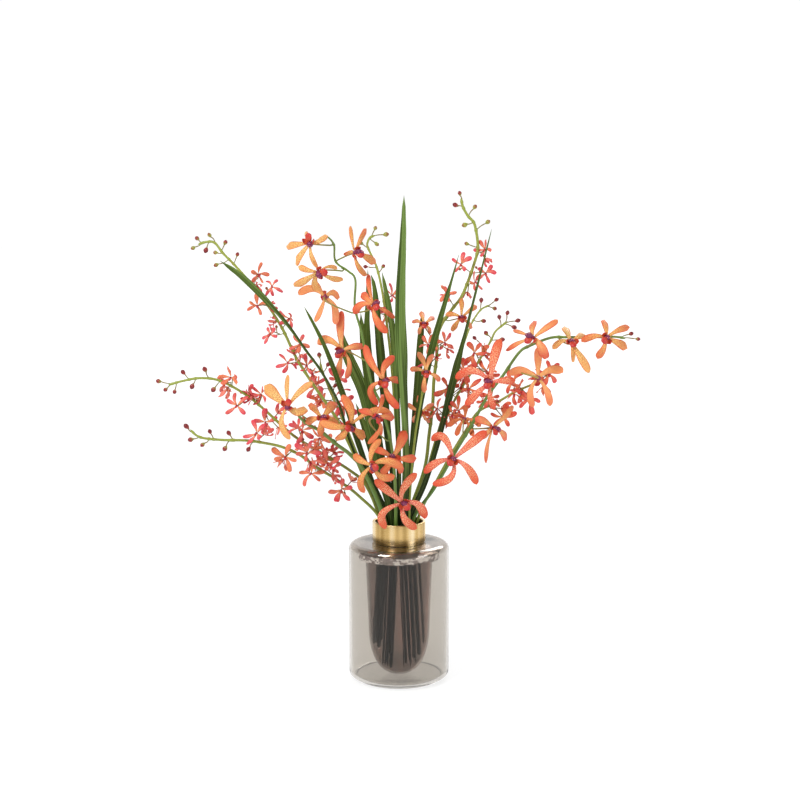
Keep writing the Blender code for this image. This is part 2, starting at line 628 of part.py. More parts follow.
def petal_width(widest):
    """Width rule of a spoon-shaped petal: narrow claw, broad towards its round tip."""
    def width_at(part):
        swell = math.sin(math.pi * min(max((part - 0.08) / 1.25, 0.0), 1.0) ** 1.15)
        return widest * (0.30 + 0.70 * swell) if part < 0.85 else widest * 0.72
    return width_at


def leaf_width(widest):
    """Width rule of a strap leaf: nearly even, then drawn out to a long point."""
    def width_at(part):
        taper = max((part - 0.45) / 0.55, 0.0)
        return widest * (0.62 + 0.38 * min(part / 0.35, 1.0)) * (1 - taper ** 1.8) + 0.8 * MM
    return width_at


def face_direction(yaw, pitch):
    """Where a bloom looks: yaw 0 is the front, and pitch lifts it."""
    yaw, pitch = math.radians(yaw), math.radians(pitch)
    level = math.cos(pitch)
    return Vector((math.sin(yaw) * level, -math.cos(yaw) * level, math.sin(pitch)))


def on_face(face, right, up):
    """The step in a bloom's own plane that shows from the front as this (right, up) in mm."""
    right, up = right * MM, up * MM
    toward = -1.0 if face.y < 0 else 1.0
    depth = -(face.x * right + face.z * up) / (toward * max(abs(face.y), STEEPEST_FACE))
    return Vector((right, depth, up))


def petal_line(middle, face, petal, heart):
    """The line of a petal that leaves the heart, arches forward and bends back to its tip."""
    half_way, reach = on_face(face, *petal[:2]), on_face(face, *petal[2:])
    seen = math.hypot(reach.x, reach.z)
    spare = math.sqrt(max(PETAL_REACH ** 2 - seen ** 2, 0.0))
    end = middle + reach - face * (PETAL_SWEEP_BACK * spare + PETAL_CURL_BACK)
    control = middle + half_way * 2 - reach * 0.5 + face * PETAL_ARCH * reach.length
    start = middle + (control - middle).normalized() * heart * PETAL_START
    return arc_line(start, control, end, PETAL_LINE_STEPS)


def pedicel_line(stem, radius_at, middle, face, lead, count):
    """A flower stalk from just outside the stem's surface to the back of a bloom."""
    distance = min(nearest_distance(stem, middle) + lead, lengths_along(stem)[-1])
    root, along = point_along(stem, distance)
    approach = middle - face * PEDICEL_APPROACH * (middle - root).length
    away = approach - root
    away = (away - along * away.dot(along)).normalized()
    start = root + away * (radius_at(distance) + PEDICEL_FOOT_GAP)
    lift = start + away * PEDICEL_FOOT_RUN
    return [start] + arc_line(lift, approach, middle, count)


def stem_radius(stem, kind):
    """Radius rule along a stem, from its tip to its foot."""
    tip, foot = LARGE_STEM if kind == "large" else SMALL_STEM
    total = lengths_along(stem)[-1]
    return lambda distance: tip + (foot - tip) * distance / total


def build_bloom(name, stems, repeats, collection):
    """One large bloom: five petals, lip and column on its own stalk, fused."""
    spray, middle, yaw, pitch, petals = LARGE_BLOOMS[name]
    middle = Vector(middle) * MM
    face = face_direction(yaw, pitch)
    star = name in SMALL_STARS
    width = STAR_PETAL_WIDTH if star else LARGE_PETAL_WIDTH
    scale = STAR_SCALE if star else 1.0
    rings = STAR_PETAL_RINGS if star else PETAL_RINGS
    for petal in petals:
        line = petal_line(middle, face, petal, COLUMN_RADIUS * scale)
        blade(line, face, petal_width(width), PETAL_THICKNESS, rings, repeats)
    drop = (DOWN - face * DOWN.dot(face)).normalized()
    lip_length = LIP_LENGTH * scale
    lip_end = middle + (face * LIP_REACH[0] + drop * LIP_REACH[1]) * lip_length
    lip = [middle, middle + face * LIP_REACH[0] * lip_length * 0.75, lip_end]
    blade(lip, face, lambda part: LIP_WIDTH * scale, LIP_THICKNESS, 2, repeats)
    stem = stems[spray]
    stalk = pedicel_line(stem["line"], stem["radius"], middle, face, PEDICEL_LEAD, 2)
    tube(stalk, [PEDICEL_RADIUS] * len(stalk), 0, repeats)
    column = bead(middle + face * MM, face, COLUMN_LENGTH * scale, COLUMN_RADIUS * scale,
                  5, 3, collection)
    fuse(name, column, repeats, "petal_orange", collection)


def add_small_bloom(middle, face, draw, repeats):
    """A small star bloom: a flat double cone whose rim runs out in five blunt petals.

    The rim has three points for each petal: two corners of its tip and a notch.
    """
    right = Vector((0, 0, 1)).cross(face).normalized()
    up = face.cross(right)
    turn = draw.uniform(0, 2 * math.pi)
    reach = [SMALL_BLOOM_RADIUS * draw.uniform(0.8, 1.1) for _ in range(5)]
    bm = bmesh.new()
    bmesh.ops.create_uvsphere(bm, u_segments=15, v_segments=2, radius=1.0)
    for vert in bm.verts:
        if abs(vert.co.z) > 0.5:
            vert.co = middle + face * vert.co.z * SMALL_HEART
            continue
        step = round(math.atan2(vert.co.y, vert.co.x) / (2 * math.pi) * 15) % 15
        petal, corner = divmod(step, 3)
        lean = (-STAR_TIP_HALF_ANGLE, STAR_TIP_HALF_ANGLE, math.pi / 5)[corner]
        angle = turn + petal * 2 * math.pi / 5 + lean
        radius = reach[petal] * (STAR_NOTCH if corner == 2 else 1.0)
        bend = SMALL_BLOOM_BEND * (radius / SMALL_BLOOM_RADIUS) ** 2
        vert.co = (middle + (right * math.cos(angle) + up * math.sin(angle)) * radius
                   - face * bend)
    mesh = bpy.data.meshes.new("star")
    bm.to_mesh(mesh)
    bm.free()
    return add_object("star", mesh, repeats)


def add_bud(root, spot, repeats):
    """A bud that swells from the end of its own short stalk."""
    length, radius = BUD_SIZE
    axis = (spot - root).normalized()
    line = [root, spot - axis * length * 0.45, spot, spot + axis * length * 0.5]
    tube(line, [SMALL_PEDICEL_RADIUS, SMALL_PEDICEL_RADIUS, radius, radius * 0.45],
         0, repeats)


def build_spray(name, stems, repeats, collection):
    """One spray's stem, with its buds and small blooms fused to it."""
    stem = stems[name]
    line, kind = stem["line"], stem["kind"]
    draw = random.Random(name)
    far = lengths_along(line)
    radii = [stem["radius"](distance) for distance in far]
    body = tube(line, radii, 1 if kind == "large" else 0, collection)
    for places, depths, bloom in ((BUDS, BUD_DEPTHS, False),
                                  (SMALL_BLOOMS, BLOOM_DEPTHS, True)):
        for right, up in places.get(name, ()):
            flat = Vector((right, 0, up)) * MM
            near, _ = point_along(line, nearest_distance(line, flat))
            near, _ = point_along(line, nearest_distance(line, Vector((flat.x, near.y, flat.z))))
            spot = Vector((flat.x, near.y + draw.uniform(*depths) * MM, flat.z))
            root, _ = point_along(line, nearest_distance(line, spot) + SMALL_PEDICEL_LEAD)
            face = face_direction(draw.uniform(-45, 45), draw.uniform(-15, 35))
            if bloom:
                add_small_bloom(spot, face, draw, repeats)
                stalk = arc_line(root, spot - face * SMALL_PEDICEL_APPROACH, spot, 2)
                tube(stalk, [SMALL_PEDICEL_RADIUS] * len(stalk), 0, repeats)
            else:
                add_bud(root, spot, repeats)
    material = "petal_pink" if name in SMALL_BLOOMS else "stem_green"
    fuse(name, body, repeats, material, collection)


def build_leaf(name, collection):
    """One strap leaf, from its foot in the vessel to its pointed tip."""
    slot, widest, turn, route = LEAVES[name]
    line = smooth(through_neck(route, slot, LEAF_THICKNESS / 4), 10 * MM)[::-1]
    leaf = blade(line, FRONT, leaf_width(widest * MM), LEAF_THICKNESS, LEAF_RINGS,
                 collection, turn=turn)
    leaf.name = name
    leaf.data.materials.append(finish_material("leaf_green"))


def stem_lines():
    """The smoothed line, radius rule and kind of every stem."""
    stems = {}
    for name, (kind, slot, route) in STEMS.items():
        foot_radius = LARGE_STEM[1] if kind == "large" else SMALL_STEM[1]
        line = smooth(through_neck(route, slot, foot_radius))
        stems[name] = {"line": line, "kind": kind, "radius": stem_radius(line, kind)}
    return stems


def main():
    """Build the vase, the leaves, the sprays and the blooms."""
    clear_scene()
    collection = new_collection(OBJECT_NAME)
    repeats = new_collection("repeats")
    build_outer_glass(collection)
    build_inner_vessel(collection)
    build_collar(collection)
    for name in LEAVES:
        build_leaf(name, collection)
    stems = stem_lines()
    for name in STEMS:
        build_spray(name, stems, repeats, collection)
    for name in LARGE_BLOOMS:
        build_bloom(name, stems, repeats, collection)
    bpy.data.collections.remove(repeats)


main()
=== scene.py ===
"""Dresses the cut vanda orchid: glass, brass, leaves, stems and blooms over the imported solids.

Metres, +Z up, the front is -Y. The places of stems, leaves and blooms are the CAD's own,
in millimetres.
"""
import logging
from dataclasses import dataclass, field
from enum import Enum
from math import acos, atan2, ceil, copysign, cos, exp, hypot, inf, pi, radians, sin, sqrt, tan
from random import Random
from typing import Any, Callable, Sequence

import bmesh
import bpy
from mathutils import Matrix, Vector


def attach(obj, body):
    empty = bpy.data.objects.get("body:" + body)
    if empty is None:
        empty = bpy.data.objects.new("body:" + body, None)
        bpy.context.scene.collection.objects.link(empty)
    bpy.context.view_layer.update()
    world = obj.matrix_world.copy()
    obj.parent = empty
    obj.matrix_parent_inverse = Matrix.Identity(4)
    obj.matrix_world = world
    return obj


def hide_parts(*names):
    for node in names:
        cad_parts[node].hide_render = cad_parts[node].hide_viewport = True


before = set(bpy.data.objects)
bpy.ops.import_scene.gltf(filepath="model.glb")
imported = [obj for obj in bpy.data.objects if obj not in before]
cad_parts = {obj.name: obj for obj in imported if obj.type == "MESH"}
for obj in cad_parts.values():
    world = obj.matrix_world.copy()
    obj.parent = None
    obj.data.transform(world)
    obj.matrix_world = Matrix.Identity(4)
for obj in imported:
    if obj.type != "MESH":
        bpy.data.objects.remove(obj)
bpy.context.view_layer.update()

LOG = logging.getLogger("vanda_orchid")
MM = 0.001
UP = Vector((0.0, 0.0, 1.0))
DOWN = Vector((0.0, 0.0, -1.0))
FRONT = Vector((0.0, -1.0, 0.0))
Colour = tuple[float, float, float, float]
Point2 = tuple[float, float]
Point3 = tuple[float, float, float]
Socket = bpy.types.NodeSocket
Material = bpy.types.Material
Materials = Sequence[Material]
Rows = Sequence[Sequence[float]]
Finishes = dict[str, Material]


def srgb(red: int, green: int, blue: int) -> Colour:
    """Turn a screen colour into the linear colour that shaders use.

    Args:
        red: Red, 0 to 255.
        green: Green, 0 to 255.
        blue: Blue, 0 to 255.

    Returns:
        The linear colour with full alpha.
    """
    def linear(part: int) -> float:
        """Linear value of one channel."""
        share = part / 255
        return share / 12.92 if share <= 0.04045 else ((share + 0.055) / 1.055) ** 2.4
    return (linear(red), linear(green), linear(blue), 1.0)


# Painted shade: stems and leaves darken between these heights, where they go down into the
# vessel.
PAINTED_VESSEL_SHADE = srgb(14, 20, 13)
VESSEL_SHADE_HEIGHTS = (0.245, 0.205)
# The floor's glow near the vase and far off, and the two tones of the surroundings.
NEAR_GLOW = (0.8, 0.8, 0.8, 1.0)
FAR_GLOW = (0.25, 0.25, 0.25, 1.0)
DIM = (0.40, 0.40, 0.40, 1.0)
BRIGHT = (1.02, 1.02, 1.02, 1.0)
BEHIND = (0.40, 0.86)
# How far apart the patterns of two tones lie.
SEED_STEP = 61.0
# A shorter cross product than this has no sure direction.
PARALLEL = 0.05
FULL_TURN = 2 * pi


# Plant layout

class StemKind(Enum):
    """The two kinds of stem, by their radius at the tip and at the foot."""

    LARGE = (1.4 * MM, 2.8 * MM)
    SMALL = (1.2 * MM, 2.0 * MM)


class Tone(Enum):
    """The colourings of the large blooms."""

    YELLOW_SPOTTED = "yellow_spotted"
    AMBER_SPOTTED = "amber_spotted"
    CORAL_NETTED = "coral_netted"
    PEACH = "peach"
    ORANGE = "orange"


@dataclass(frozen=True)
class StemRow:
    """Where one stem runs: its slot in the neck and its route from the tip down."""

    kind: StemKind
    slot: Point2
    route: tuple[Point3, ...]
    thick: float = 1.0


@dataclass(frozen=True)
class BloomRow:
    """Where one large bloom stands, how it looks out and where its petals reach.

    A petal is (right, up) of its place halfway along and of its tip, seen from the front,
    and may add its width. lip is the side that the lip hangs to, and lean moves the
    column's tip, both (right, up).
    """

    spray: str
    middle: Point3
    yaw: float
    pitch: float
    tone: Tone
    petals: tuple[tuple[float, ...], ...]
    lip: Point2 = (0.0, -1.0)
    lean: Point2 = (0.0, 0.0)
    width: float = 11.5
    star: bool = False


@dataclass(frozen=True)
class LeafRow:
    """Where one strap leaf runs: its slot, its route from the tip and its twist.

    widths are pairs of height and width from its foot to its tip, twist is its turn at foot
    and tip, and light how strong the painted sheen on its green is.
    """

    slot: Point2
    twist: Point2
    widths: tuple[Point2, ...]
    route: tuple[Point3, ...]
    light: float = 0.3


STEMS = {
    "spray_a": StemRow(StemKind.LARGE, (-4, -15), (
        (-102, -62, 662), (-92, -61, 650), (-90, -59, 626), (-72, -57, 612), (-62, -56, 600),
        (-63, -52, 561), (-54, -49, 525), (-47, -46, 487), (-39, -43, 448), (-27, -41, 422),
        (-20, -39, 396), (-12, -36, 364), (-7, -32, 320)), 0.85),
    "spray_b": StemRow(StemKind.LARGE, (21, -13), (
        (325, -50, 515), (310, -50, 518), (267, -47, 517), (241, -45, 517), (218, -44, 516),
        (188, -41, 504), (173, -40, 494), (150, -37, 460), (129, -35, 431), (104, -31, 384),
        (83, -28, 348), (53, -24, 294))),
    "spray_c": StemRow(StemKind.LARGE, (-21, -18), (
        (-144, -85, 410), (-131, -78, 396), (-112, -69, 384), (-91, -59, 364),
        (-70, -49, 346), (-50, -38, 318)), 1.35),
    "spray_d": StemRow(StemKind.LARGE, (-5, -26), (
        (-16, -78, 388), (-11, -73, 364), (-7, -62, 330), (-5, -48, 290))),
    "spray_e": StemRow(StemKind.SMALL, (-26, 11), (
        (-303, 75, 646), (-290, 73, 650), (-277, 72, 649), (-265, 69, 634), (-250, 67, 619),
        (-228, 63, 595), (-207, 58, 570), (-177, 52, 525), (-153, 45, 476), (-123, 38, 430),
        (-97, 32, 393), (-69, 24, 338), (-49, 18, 292)), 1.3),
    "spray_f": StemRow(StemKind.SMALL, (-30, 0), (
        (-338, -15, 444), (-316, -14, 450), (-291, -13, 454), (-262, -12, 450),
        (-226, -10, 430), (-199, -9, 408), (-158, -7, 370), (-128, -6, 350), (-74, -3, 316),
        (-49, -1, 292)), 1.25),
    "spray_g": StemRow(StemKind.SMALL, (-28, -10), (
        (-299, -70, 387), (-286, -66, 375), (-256, -60, 370), (-220, -53, 368),
        (-193, -47, 363), (-170, -43, 357), (-146, -37, 345), (-119, -31, 324),
        (-88, -24, 303), (-60, -17, 280)), 1.25),
    "spray_h": StemRow(StemKind.SMALL, (14, 11), (
        (92, 50, 716), (95, 49, 702), (103, 47, 688), (112, 46, 677), (117, 43, 645),
        (112, 41, 620), (95, 37, 574), (80, 35, 553), (65, 33, 532), (57, 31, 510),
        (56, 28, 479), (52, 25, 447), (50, 22, 407), (45, 18, 366), (38, 15, 314)), 1.45),
    "spray_i": StemRow(StemKind.SMALL, (14, 20), (
        (141, 110, 553), (127, 106, 547), (117, 102, 535), (109, 97, 521), (99, 90, 495),
        (82, 76, 448), (71, 64, 404), (53, 47, 345), (36, 32, 290))),
    "spray_j": StemRow(StemKind.SMALL, (23, 9), (
        (161, 20, 535), (152, 20, 528), (142, 19, 519), (135, 19, 504), (119, 18, 477),
        (85, 16, 422), (66, 15, 380), (48, 13, 328), (36, 12, 292)), 1.1),
    "spray_k": StemRow(StemKind.SMALL, (29, 3), (
        (215, -10, 452), (173, -6, 434), (145, -2, 417), (117, 2, 402), (99, 4, 374),
        (78, 4, 339), (56, 4, 298)), 1.2),
    "spray_l": StemRow(StemKind.SMALL, (3, 11), (
        (-35, 85, 660), (-44, 83, 656), (-48, 81, 647), (-46, 80, 639), (-34, 75, 613),
        (-26, 68, 580), (-20, 61, 541), (-12, 49, 474), (-6, 36, 400), (-1, 22, 326)), 1.2),
    "spray_m": StemRow(StemKind.SMALL, (-19, 20), (
        (-123, 125, 463), (-116, 115, 442), (-100, 98, 407), (-78, 76, 361), (-59, 54, 318),
        (-40, 36, 280)), 1.2),
    "spray_n": StemRow(StemKind.SMALL, (15, -19), (
        (36, -48, 452), (31, -47, 420), (24, -44, 378), (19, -38, 325), (16, -28, 280))),
}

BLOOMS = {
    "bloom_01": BloomRow(
        "spray_a", (-124, -78, 653), -25, 15, Tone.YELLOW_SPOTTED,
        ((-19, -4, -36, -6), (-13, -19, -22, -31), (13, 2, 20, 11), (-5, 8, -9, 14, 7),
         (3, -18, 9, -36, 8)), lip=(0, 7), lean=(2, -7)),
    "bloom_02": BloomRow(
        "spray_a", (-112, -95, 613), 10, -10, Tone.YELLOW_SPOTTED,
        ((-16, 3, -29, 7, 9), (-18, -10, -35, -21), (13, 7, 25, 3, 6), (16, -8, 33, -13, 9),
         (-6, -14, -2, -28)), lip=(9, 1), lean=(0, -6)),
    "bloom_03": BloomRow(
        "spray_a", (-107, -22, 573), 160, 10, Tone.PEACH,
        ((-21, 11, -38, 3), (-8, 12, -12, 26, 9), (11, 6, 22, 1, 13), (-7, -17, -14, -36, 9),
         (12, -16, 15, -39)), lip=(-8, -4)),
    "bloom_04": BloomRow(
        "spray_a", (-62, -82, 639), 20, 5, Tone.AMBER_SPOTTED,
        ((-5, 18, -6, 37, 6), (6, 16, 16, 33, 8.5), (-6, 0, -12, -5), (14, -6, 29, -16),
         (4, -19, 17, -32, 9)), lip=(8, -3), lean=(8, 1)),
    "bloom_05": BloomRow(
        "spray_a", (-35, -85, 565), -10, 20, Tone.ORANGE,
        ((-6, 23, -8, 43, 7), (-17, 0, -29, -13), (4, -20, 19, -38), (14, -7, 29, -18, 7),
         (-9, 8, -18, 16)), lip=(8, -8), lean=(8, 3)),
    "bloom_06": BloomRow(
        "spray_a", (-82, -20, 495), -20, 0, Tone.PEACH,
        ((-1, 29, -2, 58, 13), (-20, 15, -38, 7, 13), (17, 6, 31, 3), (-3, -20, -9, -39, 10),
         (11, -19, 3, -42, 9)), lip=(-6, -8), lean=(-6, -3)),
    "bloom_07": BloomRow(
        "spray_a", (-20, -74, 457), -15, 10, Tone.ORANGE,
        ((-18, 25, -29, 50, 12), (0, 18, 14, 34), (-19, -13, -10, -36, 10),
         (6, -20, 20, -39), (11, 2, 22, -5)), lip=(4, -8), lean=(6, 0)),
    "bloom_08": BloomRow(
        "spray_c", (-156, -105, 424), -20, 15, Tone.YELLOW_SPOTTED,
        ((-17, 14, -35, 27, 17), (0, 21, -2, 43, 8), (18, 20, 35, 35, 10),
         (13, -6, 22, -1, 17), (-7, -23, 3, -45, 10)), lip=(5, 7), lean=(3, -4), width=12),
    "bloom_09": BloomRow(
        "spray_c", (-109, -92, 406), 15, 25, Tone.AMBER_SPOTTED,
        ((-9, 9, -17, 19), (8, 9, 16, 19, 14), (11, -3, 22, -8), (-12, -2, -24, -8),
         (-2, -13, 0, -26)), lean=(3, 0)),
    "bloom_10": BloomRow(
        "spray_c", (-70, -98, 396), 25, 10, Tone.AMBER_SPOTTED,
        ((-20, 0, -41, 7, 12), (0, 21, -10, 43, 15), (33, 19, 62, 9, 10),
         (12, -11, 22, -20, 14), (-10, -13, -18, -22)), lip=(-8, -5), lean=(1, -7)),
    "bloom_11": BloomRow(
        "spray_d", (-34, -122, 412), 55, 10, Tone.ORANGE,
        ((14, -3, 27, -9), (3, -18, -9, -36, 9), (5, 13, 12, 26, 9), (-11, 8, -22, 12),
         (6, -14, 10, -28)), lip=(-6, -6)),
    "bloom_12": BloomRow(
        "spray_d", (-37, -120, 343), -15, -5, Tone.AMBER_SPOTTED,
        ((0, 20, 12, 36, 10), (-14, 6, -28, 11), (-15, -20, -12, -42, 10),
         (20, 8, 42, -4, 13), (14, -15, 31, -16)), lip=(9, 0), lean=(4, -5)),
    "bloom_13": BloomRow(
        "spray_d", (-9, -98, 350), 20, 15, Tone.ORANGE,
        ((9, 17, 19, 35, 15), (-12, 7, -25, 12), (17, -3, 34, -5, 12), (-8, -12, -14, -24),
         (8, -12, 14, -24)), lean=(-4, 3)),
    "bloom_14": BloomRow(
        "spray_d", (6, -88, 283), 5, 0, Tone.CORAL_NETTED,
        ((-22, 19, -41, 34, 12.5), (0, 21, 20, 42, 12), (-29, -14, -24, -38),
         (2, -22, 20, -39, 12), (21, -3, 31, -26, 13)), lip=(8, -7), lean=(4, -1)),
    "bloom_15": BloomRow(
        "spray_b", (78, -68, 343), 0, 10, Tone.CORAL_NETTED,
        ((-14, 30, -31, 24), (23, 20, 48, 40, 13), (-24, -5, -42, -20),
         (-4, -25, -30, -35), (20, -12, 34, -36, 12)), lip=(-7, -8)),
    "bloom_16": BloomRow(
        "spray_b", (130, -80, 456), -10, 10, Tone.CORAL_NETTED,
        ((5, 30, 14, 61, 14), (-25, 15, -49, 3, 12), (18, 2, 36, 1), (-17, -15, -36, -34),
         (0, -20, 6, -40, 9)), lip=(-6, -8), lean=(-7, 1)),
    "bloom_17": BloomRow(
        "spray_b", (190, -80, 519), -30, 15, Tone.PEACH,
        ((17, 12, 34, 26, 10), (0, 12, 3, 22), (-18, -9, -37, -20, 8), (12, -13, 16, -30, 15),
         (-13, 5, -26, 8, 6)), lip=(-6, -6), lean=(-7, 3)),
    "bloom_18": BloomRow(
        "spray_b", (199, -62, 460), 175, -10, Tone.PEACH,
        ((0, 23, 0, 45), (-23, 11, -41, 5), (18, 12, 34, 10, 13), (-11, -19, -8, -40, 10),
         (12, -18, 16, -38, 10)), lip=(-2, -8)),
    "bloom_19": BloomRow(
        "spray_b", (244, -74, 512), 10, 30, Tone.YELLOW_SPOTTED,
        ((-14, 0, -25, -10, 9), (2, -14, 5, -28, 9), (11, -21, 25, -41, 12),
         (-4, 10, -6, 20), (12, 6, 24, 8))),
    "bloom_20": BloomRow(
        "spray_b", (293, -76, 519), 15, 5, Tone.AMBER_SPOTTED,
        ((0, 12, 0, 24, 11), (18, 10, 37, 13, 10), (17, -8, 34, -17, 13),
         (-4, -15, -10, -31, 11), (-18, 2, -34, -6, 10)), lip=(-6, -4)),
    "bloom_21": BloomRow(
        "spray_b", (136, -44, 385), 35, 10, Tone.PEACH,
        ((16, 15, 33, 25), (-12, -26, -10, -49, 7), (-13, 9, -26, 14),
         (-13, -8, -24, -18), (12, -9, 22, -22)), lip=(-4, -9), lean=(5, -4)),
    "bloom_22": BloomRow(
        "spray_h", (92, 12, 541), 10, 10, Tone.AMBER_SPOTTED,
        ((0, 14, 2, 27), (13, 10, 24, 15), (9, -8, 17, -17), (-8, -10, -12, -22, 9),
         (-12, 4, -23, 3)), width=8, star=True),
    "bloom_23": BloomRow(
        "spray_n", (39, -66, 468), 0, 15, Tone.PEACH,
        ((-4, 14, -12, 27), (3, 13, 10, 24), (-12, 4, -23, 2), (-3, -15, -2, -30),
         (12, -5, 20, -14)), width=8, star=True),
    "bloom_24": BloomRow(
        "spray_b", (96, -12, 393), 170, 0, Tone.ORANGE,
        ((-13, -2, -25, -9), (12, -1, 23, -7), (1, 12, 0, 24), (-7, -10, -12, -22),
         (7, -10, 12, -22)), width=8, star=True),
    "bloom_25": BloomRow(
        "spray_h", (32, -2, 402), -20, 0, Tone.PEACH,
        ((-10, 5, -20, 8), (-1, 11, -4, 22), (10, 7, 18, 12), (-7, -8, -12, -18),
         (7, -8, 12, -18)), width=8, star=True),
    "bloom_26": BloomRow(
        "spray_h", (37, 14, 531), 0, 20, Tone.PEACH,
        ((-9, 3, -17, 3), (-2, 9, -4, 17), (8, 5, 15, 9), (-5, -7, -9, -15),
         (6, -6, 11, -14)), width=8, star=True),
}

BUDS = {
    "spray_b": ((333, 522), (342, 515)),
    "spray_e": ((-310, 641), (-304, 655), (-284, 660), (-290, 638), (-276, 634), (-261, 649),
                (-274, 616), (-243, 631)),
    "spray_f": ((-352, 449), (-342, 437), (-329, 434), (-316, 462), (-303, 442), (-283, 467),
                (-272, 437)),
    "spray_g": ((-304, 391), (-299, 371), (-282, 364), (-271, 383), (-245, 379), (-251, 357),
                (-217, 356)),
    "spray_h": ((90, 722), (84, 705), (112, 702), (98, 676), (131, 680), (101, 648)),
    "spray_i": ((149, 561), (126, 560), (147, 547), (129, 529)),
    "spray_j": ((160, 547), (175, 536), (170, 526), (148, 541), (129, 517), (112, 510),
                (152, 508)),
    "spray_l": ((-36, 670), (-20, 661), (-57, 648), (-34, 647), (-24, 613), (-50, 613)),
    "spray_m": ((-137, 451), (-124, 473), (-110, 460), (-99, 428)),
}

SMALL_BLOOMS = {
    "spray_e": ((-210, 603), (-190, 584), (-212, 556), (-164, 537), (-192, 513), (-148, 500),
                (-168, 470), (-138, 466)),
    "spray_f": ((-245, 456), (-237, 414), (-203, 429), (-197, 388), (-142, 378), (-116, 366),
                (-110, 332)),
    "spray_g": ((-204, 380), (-165, 343), (-133, 350), (-128, 316), (-104, 332), (-85, 290)),
    "spray_h": ((128, 640), (92, 618), (112, 592), (128, 606), (69, 577), (44, 500),
                (68, 502), (40, 474)),
    "spray_j": ((112, 488), (130, 462), (96, 462), (104, 436), (72, 436), (88, 404),
                (58, 404)),
    "spray_k": ((135, 426), (152, 397), (168, 448), (192, 424), (218, 462)),
    "spray_l": ((-11, 570), (-36, 548)),
    "spray_m": ((-129, 427), (-92, 438), (-122, 404), (-84, 400), (-102, 378)),
}

LEAVES = {
    "leaf_01": LeafRow((7, -24), (0, 8), (
        (250, 9), (400, 10), (440, 12), (500, 18), (573, 14.5), (627, 11.5), (662, 8.8),
        (699, 5.5), (719, 0.6)), (
        (7, -125, 719), (6, -117, 672), (2, -100, 574), (3, -89, 503), (7, -77, 430),
        (10, -64, 356), (9, -52, 305)), 1.0),
    "leaf_02": LeafRow((-15, 3), (30, -20), (
        (250, 5), (400, 4), (510, 4.2), (545, 6), (572, 9.6), (594, 10.5), (612, 8),
        (625, 0.6)), (
        (-264, 15, 625), (-225, 14, 596), (-171, 12, 539), (-137, 11, 492), (-114, 10, 460),
        (-89, 8, 413), (-73, 7, 359), (-50, 6, 305)), 0.6),
    "leaf_03": LeafRow((-16, -8), (0, 20), (
        (250, 8), (420, 8.8), (475, 7.4), (513, 5.8), (541, 4.2), (561, 0.6)), (
        (-138, -25, 561), (-115, -23, 517), (-99, -21, 479), (-79, -19, 422), (-62, -16, 365),
        (-40, -12, 300)), 0.1),
    "leaf_04": LeafRow((17, -3), (0, 25), (
        (250, 7.5), (370, 8.5), (430, 11.5), (470, 11.5), (500, 7), (520, 5.3), (565, 4.3),
        (640, 2.4), (672, 0.6)), (
        (135, 0, 672), (123, -1, 623), (100, -2, 531), (85, -2, 472), (71, -3, 413),
        (56, -3, 353), (38, -3, 295)), 0.2),
    "leaf_05": LeafRow((9, -8), (0, -15), (
        (250, 8), (400, 9), (470, 10.5), (508, 10), (538, 8.2), (567, 6.7), (604, 3.3),
        (639, 0.6)), (
        (87, -35, 639), (76, -33, 599), (51, -28, 511), (36, -25, 445), (25, -20, 378),
        (16, -15, 311)), 0.2),
    "leaf_06": LeafRow((10, 4), (0, 12), (
        (250, 8), (380, 10), (428, 11.5), (473, 11.5), (503, 10.5), (524, 8.4), (537, 5.5),
        (547, 0.6)), (
        (35, 40, 547), (31, 34, 491), (27, 27, 431), (21, 19, 357), (15, 12, 297)), 0.15),
    "leaf_07": LeafRow((-3, 19), (0, 12), (
        (250, 8), (400, 12), (487, 13.5), (525, 11.5), (564, 8.6), (590, 5.5), (604, 0.6)), (
        (-42, 36, 604), (-36, 37, 580), (-30, 37, 513), (-24, 35, 445), (-16, 30, 355),
        (-8, 25, 295)), 0.35),
    "leaf_08": LeafRow((0, 3), (0, -15), (
        (250, 7), (450, 8), (510, 9.5), (560, 9), (590, 6), (609, 0.6)), (
        (-25, 10, 609), (-16, 9, 563), (-9, 8, 517), (-4, 6, 449), (-1, 4, 360),
        (0, 3, 300)), 0.55),
    "leaf_09": LeafRow((-8, 24), (0, 12), (
        (250, 9), (380, 13), (459, 15), (499, 12), (539, 8), (578, 5.5), (609, 0.6)), (
        (-48, 120, 609), (-48, 109, 561), (-49, 94, 500), (-41, 73, 410), (-26, 51, 321),
        (-15, 38, 280)), 0.1),
    "leaf_10": LeafRow((-9, -2), (0, 0), (
        (250, 8), (420, 11), (490, 10.5), (528, 7.5), (550, 0.6)), (
        (-56, 0, 550), (-53, 0, 509), (-46, -1, 450), (-33, -2, 360), (-19, -2, 295)), 0.2),
    "leaf_11": LeafRow((-11, 9), (0, -10), (
        (250, 10), (350, 13), (420, 15), (460, 18), (490, 16), (512, 11), (532, 0.6)), (
        (-92, 25, 532), (-77, 21, 486), (-56, 17, 437), (-40, 14, 375), (-23, 11, 305)), 0.9),
    "leaf_12": LeafRow((-12, -15), (0, 10), (
        (250, 8), (370, 10), (400, 8), (424, 0.6)), (
        (-63, -50, 424), (-51, -44, 389), (-36, -35, 336), (-22, -25, 290)), 0.3),
}


# Shader wrapper

